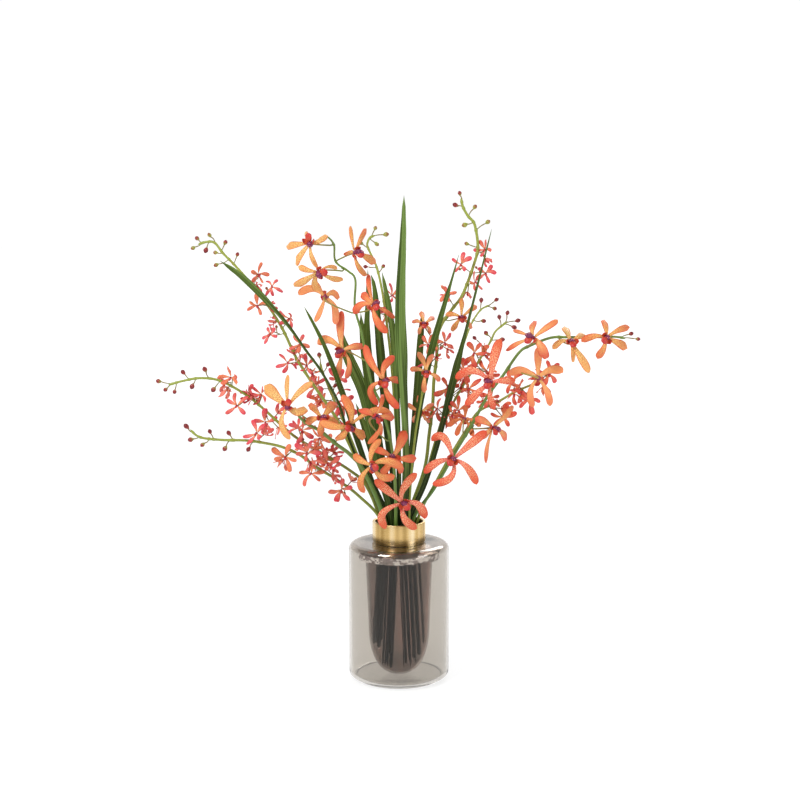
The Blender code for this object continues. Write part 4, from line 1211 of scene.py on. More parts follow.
@dataclass
class Vase:
    """The outer glass, the smoked vessel hung in it and the brass collar."""

    body_radius: float = 75 * MM
    shoulder: float = 207 * MM
    wall: float = 3.5 * MM
    floor: float = 5 * MM
    foot_radius: float = 64 * MM
    foot_step: float = 3 * MM
    shoulder_round: float = 10.5 * MM
    heel_round: float = 9 * MM
    floor_round: float = 9 * MM
    ceiling_round: float = 7 * MM
    mouth_round: float = 0.8 * MM
    foot_round: float = 1.2 * MM
    mouth: float = 35 * MM
    vessel_bottom: float = 5.4 * MM
    vessel_waist: float = 88 * MM
    vessel_radius: float = 46 * MM
    vessel_top: float = 50 * MM
    vessel_wall: float = 2.5 * MM
    fullness: float = 2.5
    brim_radius: float = 62 * MM
    brim_top: float = 196 * MM
    brim_bottom: float = 184 * MM
    brim_rounds: Point2 = (3.0 * MM, 2.5 * MM)
    brim_inner_rounds: Point2 = (2.5 * MM, 3 * MM)
    brim_root: float = 4 * MM
    below_brim: float = 20 * MM
    land: float = 3.5 * MM
    land_round: float = 2.5 * MM
    vessel_mouth: float = 34.5 * MM
    gap: float = 0.3 * MM
    collar_radius: float = 39.5 * MM
    collar_bore: float = 35.5 * MM
    collar_height: float = 32 * MM
    collar_round: float = 1.3 * MM
    groove: Point2 = (2.0 * MM, 1.2 * MM)
    groove_round: float = 0.5 * MM
    steps: int = 128
    same_place: float = 0.002 * MM
    crease: float = radians(40)
    neck_heights: Point2 = (243 * MM, 199 * MM)
    neck_half: float = 30.0
    foot_spread: float = 1.3
    foot_shift: float = 8 * MM
    foot_clearance: float = 0.6 * MM

    def bullet(self, radius: float, bottom: float, count: int = 28) -> list[Point2]:
        """The vessel's rounded lower end, from its waist down to the axis.

        Args:
            radius: Its radius at the waist.
            bottom: The height of its lowest point.
            count: Runs of the curve.

        Returns:
            Places as (radius, height).
        """
        depth = self.vessel_waist - bottom
        power = 2 / self.fullness
        points = []
        for step in range(count):
            angle = pi / 2 * step / count
            points.append((radius * cos(angle) ** power,
                           self.vessel_waist - depth * sin(angle) ** power))
        return points + [(0.0, bottom)]

    def floor_height(self, radius: float) -> float:
        """Height of the vessel's inner surface at a distance from the axis.

        Args:
            radius: The distance from the axis.

        Returns:
            The height.
        """
        wall = self.bullet(self.vessel_radius - self.vessel_wall,
                           self.vessel_bottom + self.vessel_wall)
        for (outer, high), (inner, low) in zip(wall, wall[1:]):
            if inner <= radius <= outer:
                return low + (high - low) * (radius - inner) / (outer - inner)
        return self.vessel_waist

    def turn(self, name: str, profile: Rows, closed: bool,
             material: Material, slot: str, node: str) -> None:
        """Spin a profile of (radius, height) about the vase's axis into a piece.

        Args:
            name: The name.
            profile: The half outline.
            closed: True where the outline ends where it starts.
            material: Its finish.
            slot: The record's material slot.
            node: The CAD node that it replaces.
        """
        mould = Mould()
        bm = mould.bm
        verts = [bm.verts.new((point[0], 0.0, point[1])) for point in profile]
        ends = list(zip(verts, verts[1:])) + ([(verts[-1], verts[0])] if closed else [])
        edges = [bm.edges.new(pair) for pair in ends]
        bmesh.ops.spin(bm, geom=verts + edges, cent=(0, 0, 0), axis=UP, dvec=(0, 0, 0),
                       angle=FULL_TURN, steps=self.steps, use_merge=True)
        bmesh.ops.remove_doubles(bm, verts=bm.verts, dist=self.same_place)
        bmesh.ops.recalc_face_normals(bm, faces=bm.faces)
        for face in bm.faces:
            face.smooth = True
        for edge in bm.edges:
            if len(edge.link_faces) == 2 and edge.calc_face_angle() > self.crease:
                edge.smooth = False
        mould.finish(name, [material], slot, node)

    def build_glass(self, material: Material) -> None:
        """The clear cylinder: floor, small foot, rounded heel and shoulder, wide mouth.

        Args:
            material: The clear glass.
        """
        inside = self.body_radius - self.wall
        ceiling = self.shoulder - self.wall
        profile = rounded(
            (0.0, self.floor), (inside, self.floor, self.floor_round, 12),
            (inside, ceiling, self.ceiling_round, 12),
            (self.mouth, ceiling, self.mouth_round, 4),
            (self.mouth, self.shoulder, self.mouth_round, 4),
            (self.body_radius, self.shoulder, self.shoulder_round, 16),
            (self.body_radius, self.foot_step, self.heel_round, 14),
            (self.foot_radius, self.foot_step),
            (self.foot_radius, 0.0, self.foot_round, 5), (0.0, 0.0))
        self.turn("vase_glass", profile, False, material, "clear_glass", "outer_glass")

    def build_vessel(self, material: Material) -> None:
        """The smoked bullet, whose deep brim slopes up to its mouth under the shoulder.

        Args:
            material: The smoked glass.
        """
        wall = self.vessel_wall
        top = self.shoulder - self.wall - self.gap
        bore, inside, outer = self.vessel_mouth, self.vessel_top - wall, self.brim_radius
        hollow, deep = outer - wall, self.brim_bottom + wall
        tight, wide = self.brim_inner_rounds
        upper, lower = self.brim_rounds
        profile = self.bullet(self.vessel_radius - wall, self.vessel_bottom + wall)[::-1]
        profile += rounded(
            (inside, deep, wide, 5), (hollow, deep, tight, 5),
            (hollow, self.brim_top - wall, tight, 5), (bore, top - wall),
            (bore, top, self.mouth_round, 3), (bore + self.land, top, self.land_round, 4),
            (outer, self.brim_top, upper, 7), (outer, self.brim_bottom, lower, 6),
            (self.vessel_top, self.brim_bottom, self.brim_root, 8),
            before=(inside, deep - self.below_brim),
            after=(self.vessel_top, self.brim_bottom - self.below_brim))
        profile += self.bullet(self.vessel_radius, self.vessel_bottom)
        self.turn("vase_vessel", profile, False, material, "smoked_glass", "inner_vessel")

    def build_collar(self, material: Material) -> None:
        """The brass ring round the neck, with a shadow groove at its foot.

        Args:
            material: The brass.
        """
        low = self.shoulder + self.gap
        high = self.shoulder + self.collar_height
        bore, outer = self.collar_bore, self.collar_radius
        lip, recess = low + self.groove[0], outer - self.groove[1]
        profile = rounded(
            (bore, low), (bore, high, self.collar_round, 6),
            (outer, high, self.collar_round, 6), (outer, lip, self.groove_round, 4),
            (recess, lip), (recess, low))
        self.turn("vase_collar", profile, True, material, "brass", "brass_collar")

    def through_neck(self, route: Rows, slot: Point2,
                     half_width: float) -> list[Vector]:
        """A route in metres from its tip, through its slot in the neck, to its foot.

        Args:
            route: Places in millimetres from the tip down.
            slot: Where it passes the neck.
            half_width: How far the foot's edge is from its middle.

        Returns:
            The places.
        """
        place_in = Vector((slot[0], slot[1], 0)) * MM
        shift = self.foot_shift * (1 - abs(slot[0]) / self.neck_half)
        foot = place_in * self.foot_spread + Vector((copysign(shift, slot[0]), 0, 0))
        height = self.floor_height(foot.length + half_width) + self.foot_clearance
        high, low = self.neck_heights
        return place(route) + [place_in + UP * high, place_in + UP * low, foot + UP * height]


# Leaves

@dataclass
class StrapLeaf:
    """One strap leaf with a shallow keel, from its foot in the vessel to its tip."""

    name: str
    row: LeafRow
    vase: Vase
    thickness: float = 1.6 * MM
    flatness: float = 0.42
    thin_edge: float = 0.55
    slender: float = 0.28
    slender_heights: Point2 = (150.0, 235.0)
    fold: Point2 = (0.30, 0.16)
    ripple: float = 0.35 * MM
    rings: int = 90
    around: int = 20
    line: Line = field(init=False)

    def __post_init__(self) -> None:
        """Lay the line from the foot in the vessel to the tip."""
        route = self.vase.through_neck(self.row.route, self.row.slot, self.thickness / 4)
        self.line = Line(smooth(route)[::-1])

    def half_width(self, part: float) -> float:
        """Half the row's width at this height, and slender inside the vessel.

        Args:
            part: Part of the length, from the foot.

        Returns:
            Half the width.
        """
        height = self.line.at(part * self.line.length)[0].z / MM
        knots = ((0.0, self.row.widths[0][1]),) + self.row.widths
        width = knots[-1][1]
        for (low, first), (high, second) in zip(knots, knots[1:]):
            if height <= high:
                width = first + (second - first) * ease((height - low) / (high - low))
                break
        low, high = self.slender_heights
        opened = ease((height - low) / (high - low))
        return width * (self.slender + (1 - self.slender) * opened) * MM / 2

    def camber(self, part: float, across: float) -> float:
        """A folded keel that opens towards the tip, with slightly rolled edges.

        Args:
            part: Part of the length.
            across: Place across, -1 to 1.

        Returns:
            The step forward.
        """
        half = self.half_width(part)
        fold = self.fold[0] - self.fold[1] * part
        ripple = self.ripple * sin(part * 23 + across * 2) * across * across
        return half * fold * (abs(across) ** 1.3 - 0.4) + ripple

    def build(self, material: Material) -> None:
        """Sweep the leaf.

        Args:
            material: Its finish.
        """
        mould = Mould()
        spine = Spine(self.line.points, self.rings, FRONT, self.row.twist)
        section = Section(self.half_width, lambda part: self.thickness * self.flatness,
                          self.camber, self.thin_edge)
        mould.sweep(spine, section, self.around, self.row.light)
        mould.finish(self.name, [material], "leaf", self.name)


# Stems

@dataclass
class Stem:
    """One stem's line and thickness."""

    name: str
    row: StemRow
    vase: Vase
    ring_step: float = 3.2 * MM
    around: int = 12
    joint_length: float = 1.7 * MM
    joint_swell: float = 0.38
    joint_reach: float = 8 * MM
    thick_until: float = 0.6
    thick_fade: float = 0.2
    line: Line = field(init=False)

    def __post_init__(self) -> None:
        """Lay the line from the tip to the foot in the vessel."""
        foot_radius = self.row.kind.value[1]
        route = self.vase.through_neck(self.row.route, self.row.slot, foot_radius)
        self.line = Line(smooth(route))

    def radius(self, distance: float) -> float:
        """Radius at a distance from the tip.

        Args:
            distance: The distance from the tip.

        Returns:
            The radius without joints.
        """
        tip, foot = self.row.kind.value
        share = (distance / self.line.length) ** 0.5
        low = clamp((distance / self.line.length - self.thick_until) / self.thick_fade)
        thick = self.row.thick + (1 - self.row.thick) * low
        return (tip + (foot - tip) * share) * thick

    def sweep(self, mould: Mould, joints: Sequence[float]) -> None:
        """Sweep the stem, a little thicker at each joint.

        Args:
            mould: Gathers the mesh.
            joints: Distances from the tip where stalks leave.
        """
        length = self.line.length
        rings = max(24, round(length / self.ring_step))

        def radius(part: float) -> float:
            """Radius by the part from the foot to the tip.

            Args:
                part: Part of the length.

            Returns:
                The radius with its joints.
            """
            distance = length * (1 - part)
            swell = sum(exp(-((distance - joint) / self.joint_length) ** 2)
                        for joint in joints if abs(distance - joint) < self.joint_reach)
            return self.radius(distance) * (1 + self.joint_swell * min(swell, 1.0))

        mould.tube(self.line.points[::-1], radius, rings, self.around)

    def bract(self, mould: Mould, distance: float, away: Vector, tone: float) -> None:
        """A small scale that hugs the stem under a stalk.

        Args:
            mould: Gathers the mesh.
            distance: Its distance from the tip.
            away: The way that the stalk leaves.
            tone: A number that varies the finish.
        """
        root, along = self.line.at(distance)
        upward = -along
        radius = self.radius(distance)
        length = radius * 2.6 + 1.5 * MM
        start = root + away * radius * 0.75 - upward * length * 0.35
        end = root + away * (radius * 1.35 + 0.4 * MM) + upward * length * 0.75
        control = root + away * radius * 1.7 + upward * length * 0.1
        section = Section(
            lambda part: radius * 0.95 * sin(pi * min(part * 0.9 + 0.08, 1.0)),
            lambda part: 0.35 * MM,
            lambda part, across: -radius * 0.45 * across * across, 0.5)
        mould.sweep(Spine(arc(start, control, end, 8), 8, away), section, 8, tone)


# Large blooms

@dataclass(frozen=True)
class PetalForm:
    """The form of a spoon-shaped petal, as shares of its width and length."""

    claw: float = 0.42
    cup: Point2 = (0.04, 0.14)
    waves: Point2 = (7, 12)
    wave: float = 0.045
    slant: float = 0.06
    groove: float = 0.28 * MM
    groove_width: float = 0.16
    opening: float = 1.6
    taper: Point2 = (1.25, 0.5)
    shoulder: Point2 = (0.05, 0.6)
    tip: float = 0.26
    tip_power: float = 2.3
    thin_edge: float = 0.6

    def section(self, width: float, thickness: float, draw: Random) -> Section:
        """The section of one petal.

        Args:
            width: Its widest.
            thickness: Its thickness at the midline.
            draw: Source of its small differences.

        Returns:
            The section.
        """
        cup = draw.uniform(*self.cup) * width
        phase, count = draw.uniform(0, 6.28), draw.uniform(*self.waves)
        slant = draw.uniform(-self.slant, self.slant) * width

        def half_width(part: float) -> float:
            """Claw, shoulder and round tip.

            Args:
                part: Part of the length.

            Returns:
                Half the width.
            """
            rise = ease((part - self.shoulder[0]) / self.shoulder[1])
            swell = self.claw + (1 - self.claw) * rise
            end = max((part - 1 + self.tip) / self.tip, 0.0)
            return width / 2 * swell * sqrt(max(1 - end ** self.tip_power, 0.0))

        def half_thickness(part: float) -> float:
            """Fleshy claw, thinner blade."""
            return thickness / 2 * (self.taper[0] - self.taper[1] * part)

        def camber(part: float, across: float) -> float:
            """Edges bent back, a groove along the middle and a loose wave at the rim.

            Args:
                part: Part of the length.
                across: Place across, -1 to 1.

            Returns:
                The step forward.
            """
            edge = across * across
            opened = min(part * self.opening, 1.0)
            wave = self.wave * width * sin(part * count + phase + across) * edge
            groove = -self.groove * exp(-(across / self.groove_width) ** 2) * (1 - part)
            return opened * (-cup * edge + wave + slant * across) + groove

        return Section(half_width, half_thickness, camber, self.thin_edge)


LARGE_PETAL = PetalForm()
SMALL_PETAL = PetalForm(claw=0.34)
YOUNG_BUD = (6.5 * MM, 2.2 * MM)


@dataclass
class Bloom:
    """One large bloom: five petals, three-lobed lip, column and stalk."""

    name: str
    row: BloomRow
    stem: Stem
    petal_reach: float = 46 * MM
    petal_thickness: float = 1.5 * MM
    petal_rings: int = 24
    petal_crowd: float = 1.6
    petal_turn: float = 14
    petal_around: int = 16
    petal_root: float = 0.55
    petal_rise: float = 0.22
    bend_back: float = 0.45
    least_bend: float = 2 * MM
    least_front: float = 0.55
    star_scale: float = 0.75
    column_radius: float = 4.2 * MM
    column_length: float = 12 * MM
    lip_length: float = 14 * MM
    lip_width: float = 11 * MM
    grain_radius: float = 0.7 * MM
    stalk_radius: float = 1.25 * MM
    stalk_drop: float = 16 * MM
    stalk_lift: float = 3.4 * MM

    def __post_init__(self) -> None:
        """Work out the bloom's middle, face and size."""
        self.middle = Vector(self.row.middle) * MM
        self.face = face_direction(self.row.yaw, self.row.pitch)
        self.scale = self.star_scale if self.row.star else 1.0
        self.draw = Random(self.name)

    def on_face(self, right: float, up: float) -> Vector:
        """The step in the bloom's plane that shows from the front as (right, up) in mm.

        Args:
            right: Millimetres to the right.
            up: Millimetres up.

        Returns:
            The step in metres.
        """
        right, up = right * MM, up * MM
        toward = -1.0 if self.face.y < 0 else 1.0
        depth = -(self.face.x * right + self.face.z * up)
        slope = toward * max(abs(self.face.y), self.least_front)
        return Vector((right, depth / slope, up))

    def petal_points(self, petal: Sequence[float]) -> list[Vector]:
        """The petal's line: out of the heart, arched forward, bent back at its tip.

        Args:
            petal: The petal's row.

        Returns:
            Places from the heart to the tip.
        """
        half_way, reach = self.on_face(*petal[:2]), self.on_face(*petal[2:4])
        seen = hypot(reach.x, reach.z)
        spare = sqrt(max(self.petal_reach ** 2 - seen ** 2, 0.0))
        away = Vector((0.0, 1.0 if self.face.y < 0 else -1.0, 0.0))
        end = self.middle + reach + away * (self.bend_back * spare + self.least_bend)
        control = self.middle + half_way * 2 - reach * 0.5
        control += self.face * self.petal_rise * reach.length
        start = (control - self.middle).normalized() * self.column_radius * self.scale
        return arc(self.middle + start * self.petal_root, control, end, 24)

    def build_petals(self, materials: Materials) -> None:
        """Sweep the five petals.

        Args:
            materials: Their finish, in a list.
        """
        mould = Mould()
        for petal in self.row.petals:
            width = (petal[4] if len(petal) > 4 else self.row.width) * MM
            section = LARGE_PETAL.section(width, self.petal_thickness, self.draw)
            turn = self.draw.uniform(-self.petal_turn, self.petal_turn)
            spine = Spine(self.petal_points(petal), self.petal_rings, self.face, (0.0, turn),
                          self.petal_crowd)
            mould.sweep(spine, section, self.petal_around, self.draw.random())
        mould.finish(self.name + "_petals", materials, "petal_orange", self.name)

    def build_heart(self, materials: Materials) -> None:
        """Build the column with its cap and pollen, and the lip with its three lobes.

        Args:
            materials: The finishes of column, lip and pollen.
        """
        mould = Mould()
        side = Vector((self.row.lip[0], 0, self.row.lip[1])).normalized()
        drop = (side - self.face * side.dot(self.face)).normalized()
        self.sweep_column(mould)
        self.sweep_tongue(mould, drop)
        for hand in (-1.0, 1.0):
            self.sweep_ear(mould, drop, hand)
        mould.finish(self.name + "_heart", materials, "petal_orange", self.name)

    def sweep_column(self, mould: Mould) -> None:
        """Sweep the column, its cap and its two grains of pollen.

        Args:
            mould: Gathers the mesh.
        """
        size = self.scale
        lean = Vector((self.row.lean[0], 0, self.row.lean[1])) * MM
        column_end = self.middle + self.face * self.column_length * 0.66 * size + lean
        axis = (column_end - self.middle).normalized()
        start = self.middle - axis * 3.5 * MM * size
        radius = self.column_radius * size
        stub = Section(
            lambda part: radius * (0.66 + 0.46 * sin(pi * part ** 1.7))
            * (1.0 if part < 0.9 else 0.8),
            lambda part: radius * (0.60 + 0.38 * sin(pi * part ** 1.7))
            * (1.0 if part < 0.9 else 0.8))
        bend = start.lerp(column_end, 0.5) + UP * 0.8 * MM
        mould.sweep(Spine(arc(start, bend, column_end), 12, UP), stub, 14, 0.3, 0)
        cap_start = column_end - axis * 2.4 * MM * size
        cap_end = column_end + axis * 1.5 * MM * size
        mould.sweep(Spine([cap_start, cap_end], 8, UP),
                    Section(lambda part: radius * 0.66 * sin(pi * part) ** 0.6,
                            lambda part: radius * 0.58 * sin(pi * part) ** 0.6),
                    12, 0.8, 0)
        grain = Section(lambda part: self.grain_radius * size,
                        lambda part: self.grain_radius * size)
        for hand in (-0.32, 0.32):
            eye = column_end + axis * 1.2 * MM * size
            eye += axis.cross(UP).normalized() * hand * radius
            mould.sweep(Spine([eye - axis * 0.8 * MM, eye + axis * 0.9 * MM], 6, UP),
                        grain, 8, 0.9, 2)

    def sweep_tongue(self, mould: Mould, drop: Vector) -> None:
        """Sweep the lip's middle lobe.

        Args:
            mould: Gathers the mesh.
            drop: The way that the lip hangs.
        """
        size = self.scale
        length = self.lip_length * size
        end = self.middle + (self.face * 0.75 + drop * 0.85) * length
        bend = self.middle + self.face * length * 0.85 + drop * length * 0.1
        half = self.lip_width * size / 2
        tongue = Section(
            lambda part: half * (0.34 + 0.66 * sin(pi * part ** 1.7) ** 0.8)
            * (1.0 if part < 0.96 else 0.8),
            lambda part: 0.8 * MM * size,
            lambda part, across: (1.1 * MM * cos(across * 9.4) * (1 - part)
                                  - 2.2 * MM * part * across * across
                                  + 0.7 * MM * sin(part * 9 + across * 5) * across ** 2)
            * size, 0.5)
        spine = Spine(arc(self.middle, bend, end), 18, self.face - drop, crowd=1.3)
        mould.sweep(spine, tongue, 22, 0.5, 1)

    def sweep_ear(self, mould: Mould, drop: Vector, hand: float) -> None:
        """Sweep one of the lip's side lobes.

        Args:
            mould: Gathers the mesh.
            drop: The way that the lip hangs.
            hand: -1 or 1, for its side.
        """
        size = self.scale
        length, half = self.lip_length * size, self.lip_width * size / 2
        side = self.face.cross(drop).normalized()
        root = self.middle + side * hand * self.column_radius * size * 0.7
        root += self.face * 1.0 * MM
        tip = (root + self.face * length * 0.62 + side * hand * length * 0.42
               + drop * length * 0.22)
        knee = root + self.face * length * 0.30 + side * hand * length * 0.50
        ear = Section(lambda part: half * 0.78 * sin(pi * (0.15 + 0.8 * part)),
                      lambda part: 0.6 * MM * size,
                      lambda part, across: -0.8 * MM * across * across * size, 0.4)
        mould.sweep(Spine(arc(root, knee, tip, 10), 9, side * hand), ear, 12, 0.7, 1)

    def stalk_points(self) -> tuple[list[Vector], float, Vector]:
        """The stalk's line from inside the stem, its distance down the stem and its way out.

        Returns:
            The line, the distance from the stem's tip and the direction.
        """
        line = self.stem.line
        distance = min(line.nearest(self.middle) + self.stalk_drop, line.length)
        root, along = line.at(distance)
        approach = self.middle - self.face * 0.4 * (self.middle - root).length
        away = approach - root
        away = (away - along * away.dot(along)).normalized()
        lift = root + away * (self.stem.radius(distance) + self.stalk_lift)
        return [root, lift] + arc(lift, approach, self.middle, 16)[1:], distance, away

    def build_stalk(self, material: Material) -> None:
        """Sweep the stalk, which thickens into the ovary behind the bloom.

        Args:
            material: Its finish.
        """
        points, _, _ = self.stalk_points()
        mould = Mould()
        thick = self.stalk_radius * (0.8 if self.row.star else 1.0)
        mould.tube(smooth(points, 3 * MM),
                   lambda part: thick * (0.9 + 0.55 * clamp((part - 0.55) / 0.35)),
                   22, 10, self.draw.random())
        mould.finish(self.name + "_stalk", [material], "stem", self.name)


# Sprays

@dataclass
class SmallBloom:
    """One small bloom of a fine spray: five narrow petals round a red heart."""

    middle: Vector
    face: Vector
    turn: float
    reaches: list[float]
    root: Vector
    draw: Random
    closed: Point2 = (-0.25, 0.65)
    petal_widths: Point2 = (0.29, 0.42)
    petal_thickness: float = 1.0 * MM
    petal_rings: int = 12
    petal_crowd: float = 1.5
    petal_turn: float = 28
    petal_around: int = 10
    heart_reach: float = 4.2 * MM
    lip_reach: float = 6.5 * MM
    lip_half: float = 2.1 * MM

    def sweep(self, mould: Mould) -> None:
        """Sweep the petals with material 0, the heart with 1 and the lip with 2.

        Args:
            mould: Gathers the mesh.
        """
        right = UP.cross(self.face).normalized()
        up = self.face.cross(right)
        hue = self.draw.random()
        closed = self.draw.uniform(*self.closed)
        for index, reach in enumerate(self.reaches):
            angle = self.turn + index * FULL_TURN / 5 + self.draw.uniform(-0.3, 0.3)
            out = right * cos(angle) + up * sin(angle)
            beside = out.cross(self.face)
            rise = closed + self.draw.uniform(-0.25, 0.25)
            sway = self.draw.uniform(-0.30, 0.30)
            control = (self.middle + out * reach * 0.52 + self.face * reach * 0.26
                       + beside * reach * sway)
            end = self.middle + (out * cos(rise) + self.face * sin(rise)) * reach
            width = self.draw.uniform(*self.petal_widths) * reach
            section = SMALL_PETAL.section(width, self.petal_thickness, self.draw)
            start = self.middle + out * 0.8 * MM
            turn = self.draw.uniform(-self.petal_turn, self.petal_turn)
            spine = Spine(arc(start, control, end, 12), self.petal_rings, self.face,
                          (0.0, turn), self.petal_crowd)
            tone = clamp(hue + self.draw.uniform(-0.2, 0.2))
            mould.sweep(spine, section, self.petal_around, tone)
        tip = self.middle + self.face * self.heart_reach
        mould.sweep(Spine([self.middle - self.face * 1.5 * MM, tip], 6, UP),
                    Section(lambda part: 1.5 * MM * sin(pi * (0.1 + 0.8 * part)),
                            lambda part: 1.3 * MM * sin(pi * (0.1 + 0.8 * part))),
                    8, 0.4, 1)
        drop = (DOWN - self.face * DOWN.dot(self.face)).normalized()
        lip_end = self.middle + (self.face * 0.7 + drop * 0.8) * self.lip_reach
        knee = self.middle + self.face * 4.5 * MM
        mould.sweep(Spine(arc(self.middle, knee, lip_end, 8), 8, self.face - drop),
                    Section(lambda part: self.lip_half * (0.4 + 0.6 * sin(pi * part)),
                            lambda part: 0.5 * MM,
                            lambda part, across: -0.9 * MM * across * across, 0.4),
                    10, 0.6, 2)

    def stalk(self, mould: Mould) -> None:
        """Sweep the bloom's fine stalk.

        Args:
            mould: Gathers the mesh.
        """
        points = arc(self.root, self.middle - self.face * 6 * MM, self.middle, 12)
        mould.tube(points, lambda part: (0.6 + 0.35 * part) * MM, 10, 8,
                   self.draw.uniform(0.4, 1.0), 1)

    def younger(self) -> "SmallBloom":
        """A smaller, half-open bloom that shares the bloom's stalk.

        Returns:
            The younger bloom.
        """
        fork = self.root.lerp(self.middle, self.draw.uniform(0.25, 0.6))
        way = Vector([self.draw.uniform(-1, 1), self.draw.uniform(-0.5, 0.5),
                      self.draw.uniform(-1, 1)]).normalized()
        face = (way + FRONT * self.draw.uniform(-0.2, 0.9)).normalized()
        reaches = [reach * self.draw.uniform(0.65, 0.9) for reach in self.reaches]
        return SmallBloom(fork + way * self.draw.uniform(10, 16) * MM, face,
                          self.draw.uniform(0, 6.28), reaches, fork, self.draw, (0.3, 1.1))

    def companion(self) -> "Bud":
        """A young bud that shares the bloom's stalk.

        Returns:
            The bud.
        """
        fork = self.root.lerp(self.middle, self.draw.uniform(0.35, 0.7))
        way = Vector([self.draw.uniform(-1, 1), self.draw.uniform(-0.6, 0.6),
                      self.draw.uniform(-0.7, 1)]).normalized()
        return Bud(fork, fork + way * self.draw.uniform(7, 11) * MM, self.draw, *YOUNG_BUD)


@dataclass
class Bud:
    """One bud on its own short stalk."""

    root: Vector
    spot: Vector
    draw: Random
    length: float = 10 * MM
    radius: float = 3.4 * MM
    sizes: Point2 = (0.82, 1.08)
    bow: float = 3.5

    def sweep(self, mould: Mould, green: bool) -> None:
        """Sweep the bud, egg-shaped; its finish marks its seams.

        Args:
            mould: Gathers the mesh.
            green: True for an unripe bud.
        """
        axis = (self.spot - self.root).normalized()
        size = self.draw.uniform(*self.sizes)
        start = self.spot - axis * self.length * 0.5 * size
        end = self.spot + axis * self.length * 0.5 * size

        def half(part: float) -> float:
            """Egg shape, fuller towards the tip."""
            return self.radius * size * sin(pi * part ** 1.25) ** 0.75 + 0.05 * MM

        mould.sweep(Spine([start, end], 12), Section(half, half), 12,
                    self.draw.random(), 1 if green else 0)

    def stalk(self, mould: Mould) -> None:
        """Sweep the stalk, bowed a little.

        Args:
            mould: Gathers the mesh.
        """
        axis = (self.spot - self.root).normalized()
        sag = axis.cross(FRONT).normalized() * self.draw.uniform(-self.bow, self.bow) * MM
        end = self.spot - axis * self.length * 0.3
        points = arc(self.root, self.root.lerp(end, 0.5) + sag, end, 10)
        mould.tube(points, lambda part: (0.7 + 0.3 * part * part) * MM, 8, 8,
                   self.draw.random(), 1)


@dataclass
class Spray:
    """One stem with its buds, small blooms and the joints of its large blooms."""

    name: str
    stem: Stem
    stalked: list[Bloom] = field(default_factory=list)
    stalk_lead: float = 7 * MM
    petal_reach: float = 15 * MM
    full_size: float = 1.45
    plain_size: float = 1.2
    bud_depths: Point2 = (-6, 6)
    bloom_depths: Point2 = (-16, 8)
    yaws: Point2 = (-45, 45)
    pitches: Point2 = (-15, 35)
    bud_share: float = 0.6
    younger_share: float = 0.8
    green_share: float = 0.55
    green_buds: tuple[str, ...] = ("spray_e", "spray_h", "spray_l")
    orange: tuple[str, ...] = ("spray_j", "spray_k")
    full_flowers: tuple[str, ...] = ("spray_f", "spray_g", "spray_j", "spray_k", "spray_m")

    @property
    def flower_size(self) -> float:
        """How much larger than the CAD's the small blooms' petals reach."""
        return self.full_size if self.name in self.full_flowers else self.plain_size

    @property
    def tone(self) -> str:
        """The finish of the small blooms' petals."""
        return "small_orange" if self.name in self.orange else "small_coral"

    def gather(self) -> tuple[list[Bud], list[SmallBloom]]:
        """Place the buds and small blooms as the CAD does, draw for draw.

        Returns:
            The buds and the blooms.
        """
        draw = Random(self.name)
        extra = Random(self.name + " detail")
        line = self.stem.line
        buds, blooms = [], []
        for table, depths in ((BUDS, self.bud_depths), (SMALL_BLOOMS, self.bloom_depths)):
            for right, up in table.get(self.name, ()):
                flat = Vector((right, 0, up)) * MM
                near, _ = line.at(line.nearest(flat))
                near, _ = line.at(line.nearest(Vector((flat.x, near.y, flat.z))))
                spot = Vector((flat.x, near.y + draw.uniform(*depths) * MM, flat.z))
                root, _ = line.at(line.nearest(spot) + self.stalk_lead)
                face = face_direction(draw.uniform(*self.yaws), draw.uniform(*self.pitches))
                if table is BUDS:
                    buds.append(Bud(root, spot, extra))
                else:
                    turn = draw.uniform(0, FULL_TURN)
                    reaches = [self.petal_reach * draw.uniform(0.8, 1.1) * self.flower_size
                               for _ in range(5)]
                    blooms.append(SmallBloom(spot, face, turn, reaches, root, extra))
        return buds, blooms

    def build(self, finishes: Finishes) -> None:
        """Build the stem, then the flowers and the buds.

        Args:
            finishes: The materials by name.
        """
        buds, blooms = self.gather()
        draw = Random(self.name + " bracts")
        large = self.stem.row.kind is StemKind.LARGE
        stem_mould = Mould()
        joints = [self.stem.line.nearest(item.root) for item in buds + blooms]
        for bloom in self.stalked:
            _, distance, away = bloom.stalk_points()
            joints.append(distance)
            self.stem.bract(stem_mould, distance, away, draw.random())
        self.stem.sweep(stem_mould, joints)
        buds += [bloom.companion() for bloom in blooms if draw.random() < self.bud_share]
        crowd = 2 if self.name in self.full_flowers else 1
        blooms += [bloom.younger() for bloom in blooms for _ in range(crowd)
                   if draw.random() < self.younger_share]
        for item in buds + blooms:
            item.stalk(stem_mould)
        main = finishes["green_stem"] if large else finishes["olive_stem"]
        stem_mould.finish(self.name + "_stem", [main, finishes["fine_stalk"]], "stem",
                          self.name)
        if blooms:
            mould = Mould()
            for bloom in blooms:
                bloom.sweep(mould)
            mould.finish(self.name + "_flowers",
                         [finishes[self.tone], finishes["small_heart"],
                          finishes["small_lip"]], "petal_pink", self.name)
        if buds:
            mould = Mould()
            for bud in buds:
                green = self.name in self.green_buds and draw.random() < self.green_share
                bud.sweep(mould, green)
            slot = "petal_pink" if self.name in SMALL_BLOOMS else "stem"
            mould.finish(self.name + "_buds", [finishes["red_bud"], finishes["green_bud"]],
                         slot, self.name)


# Studio

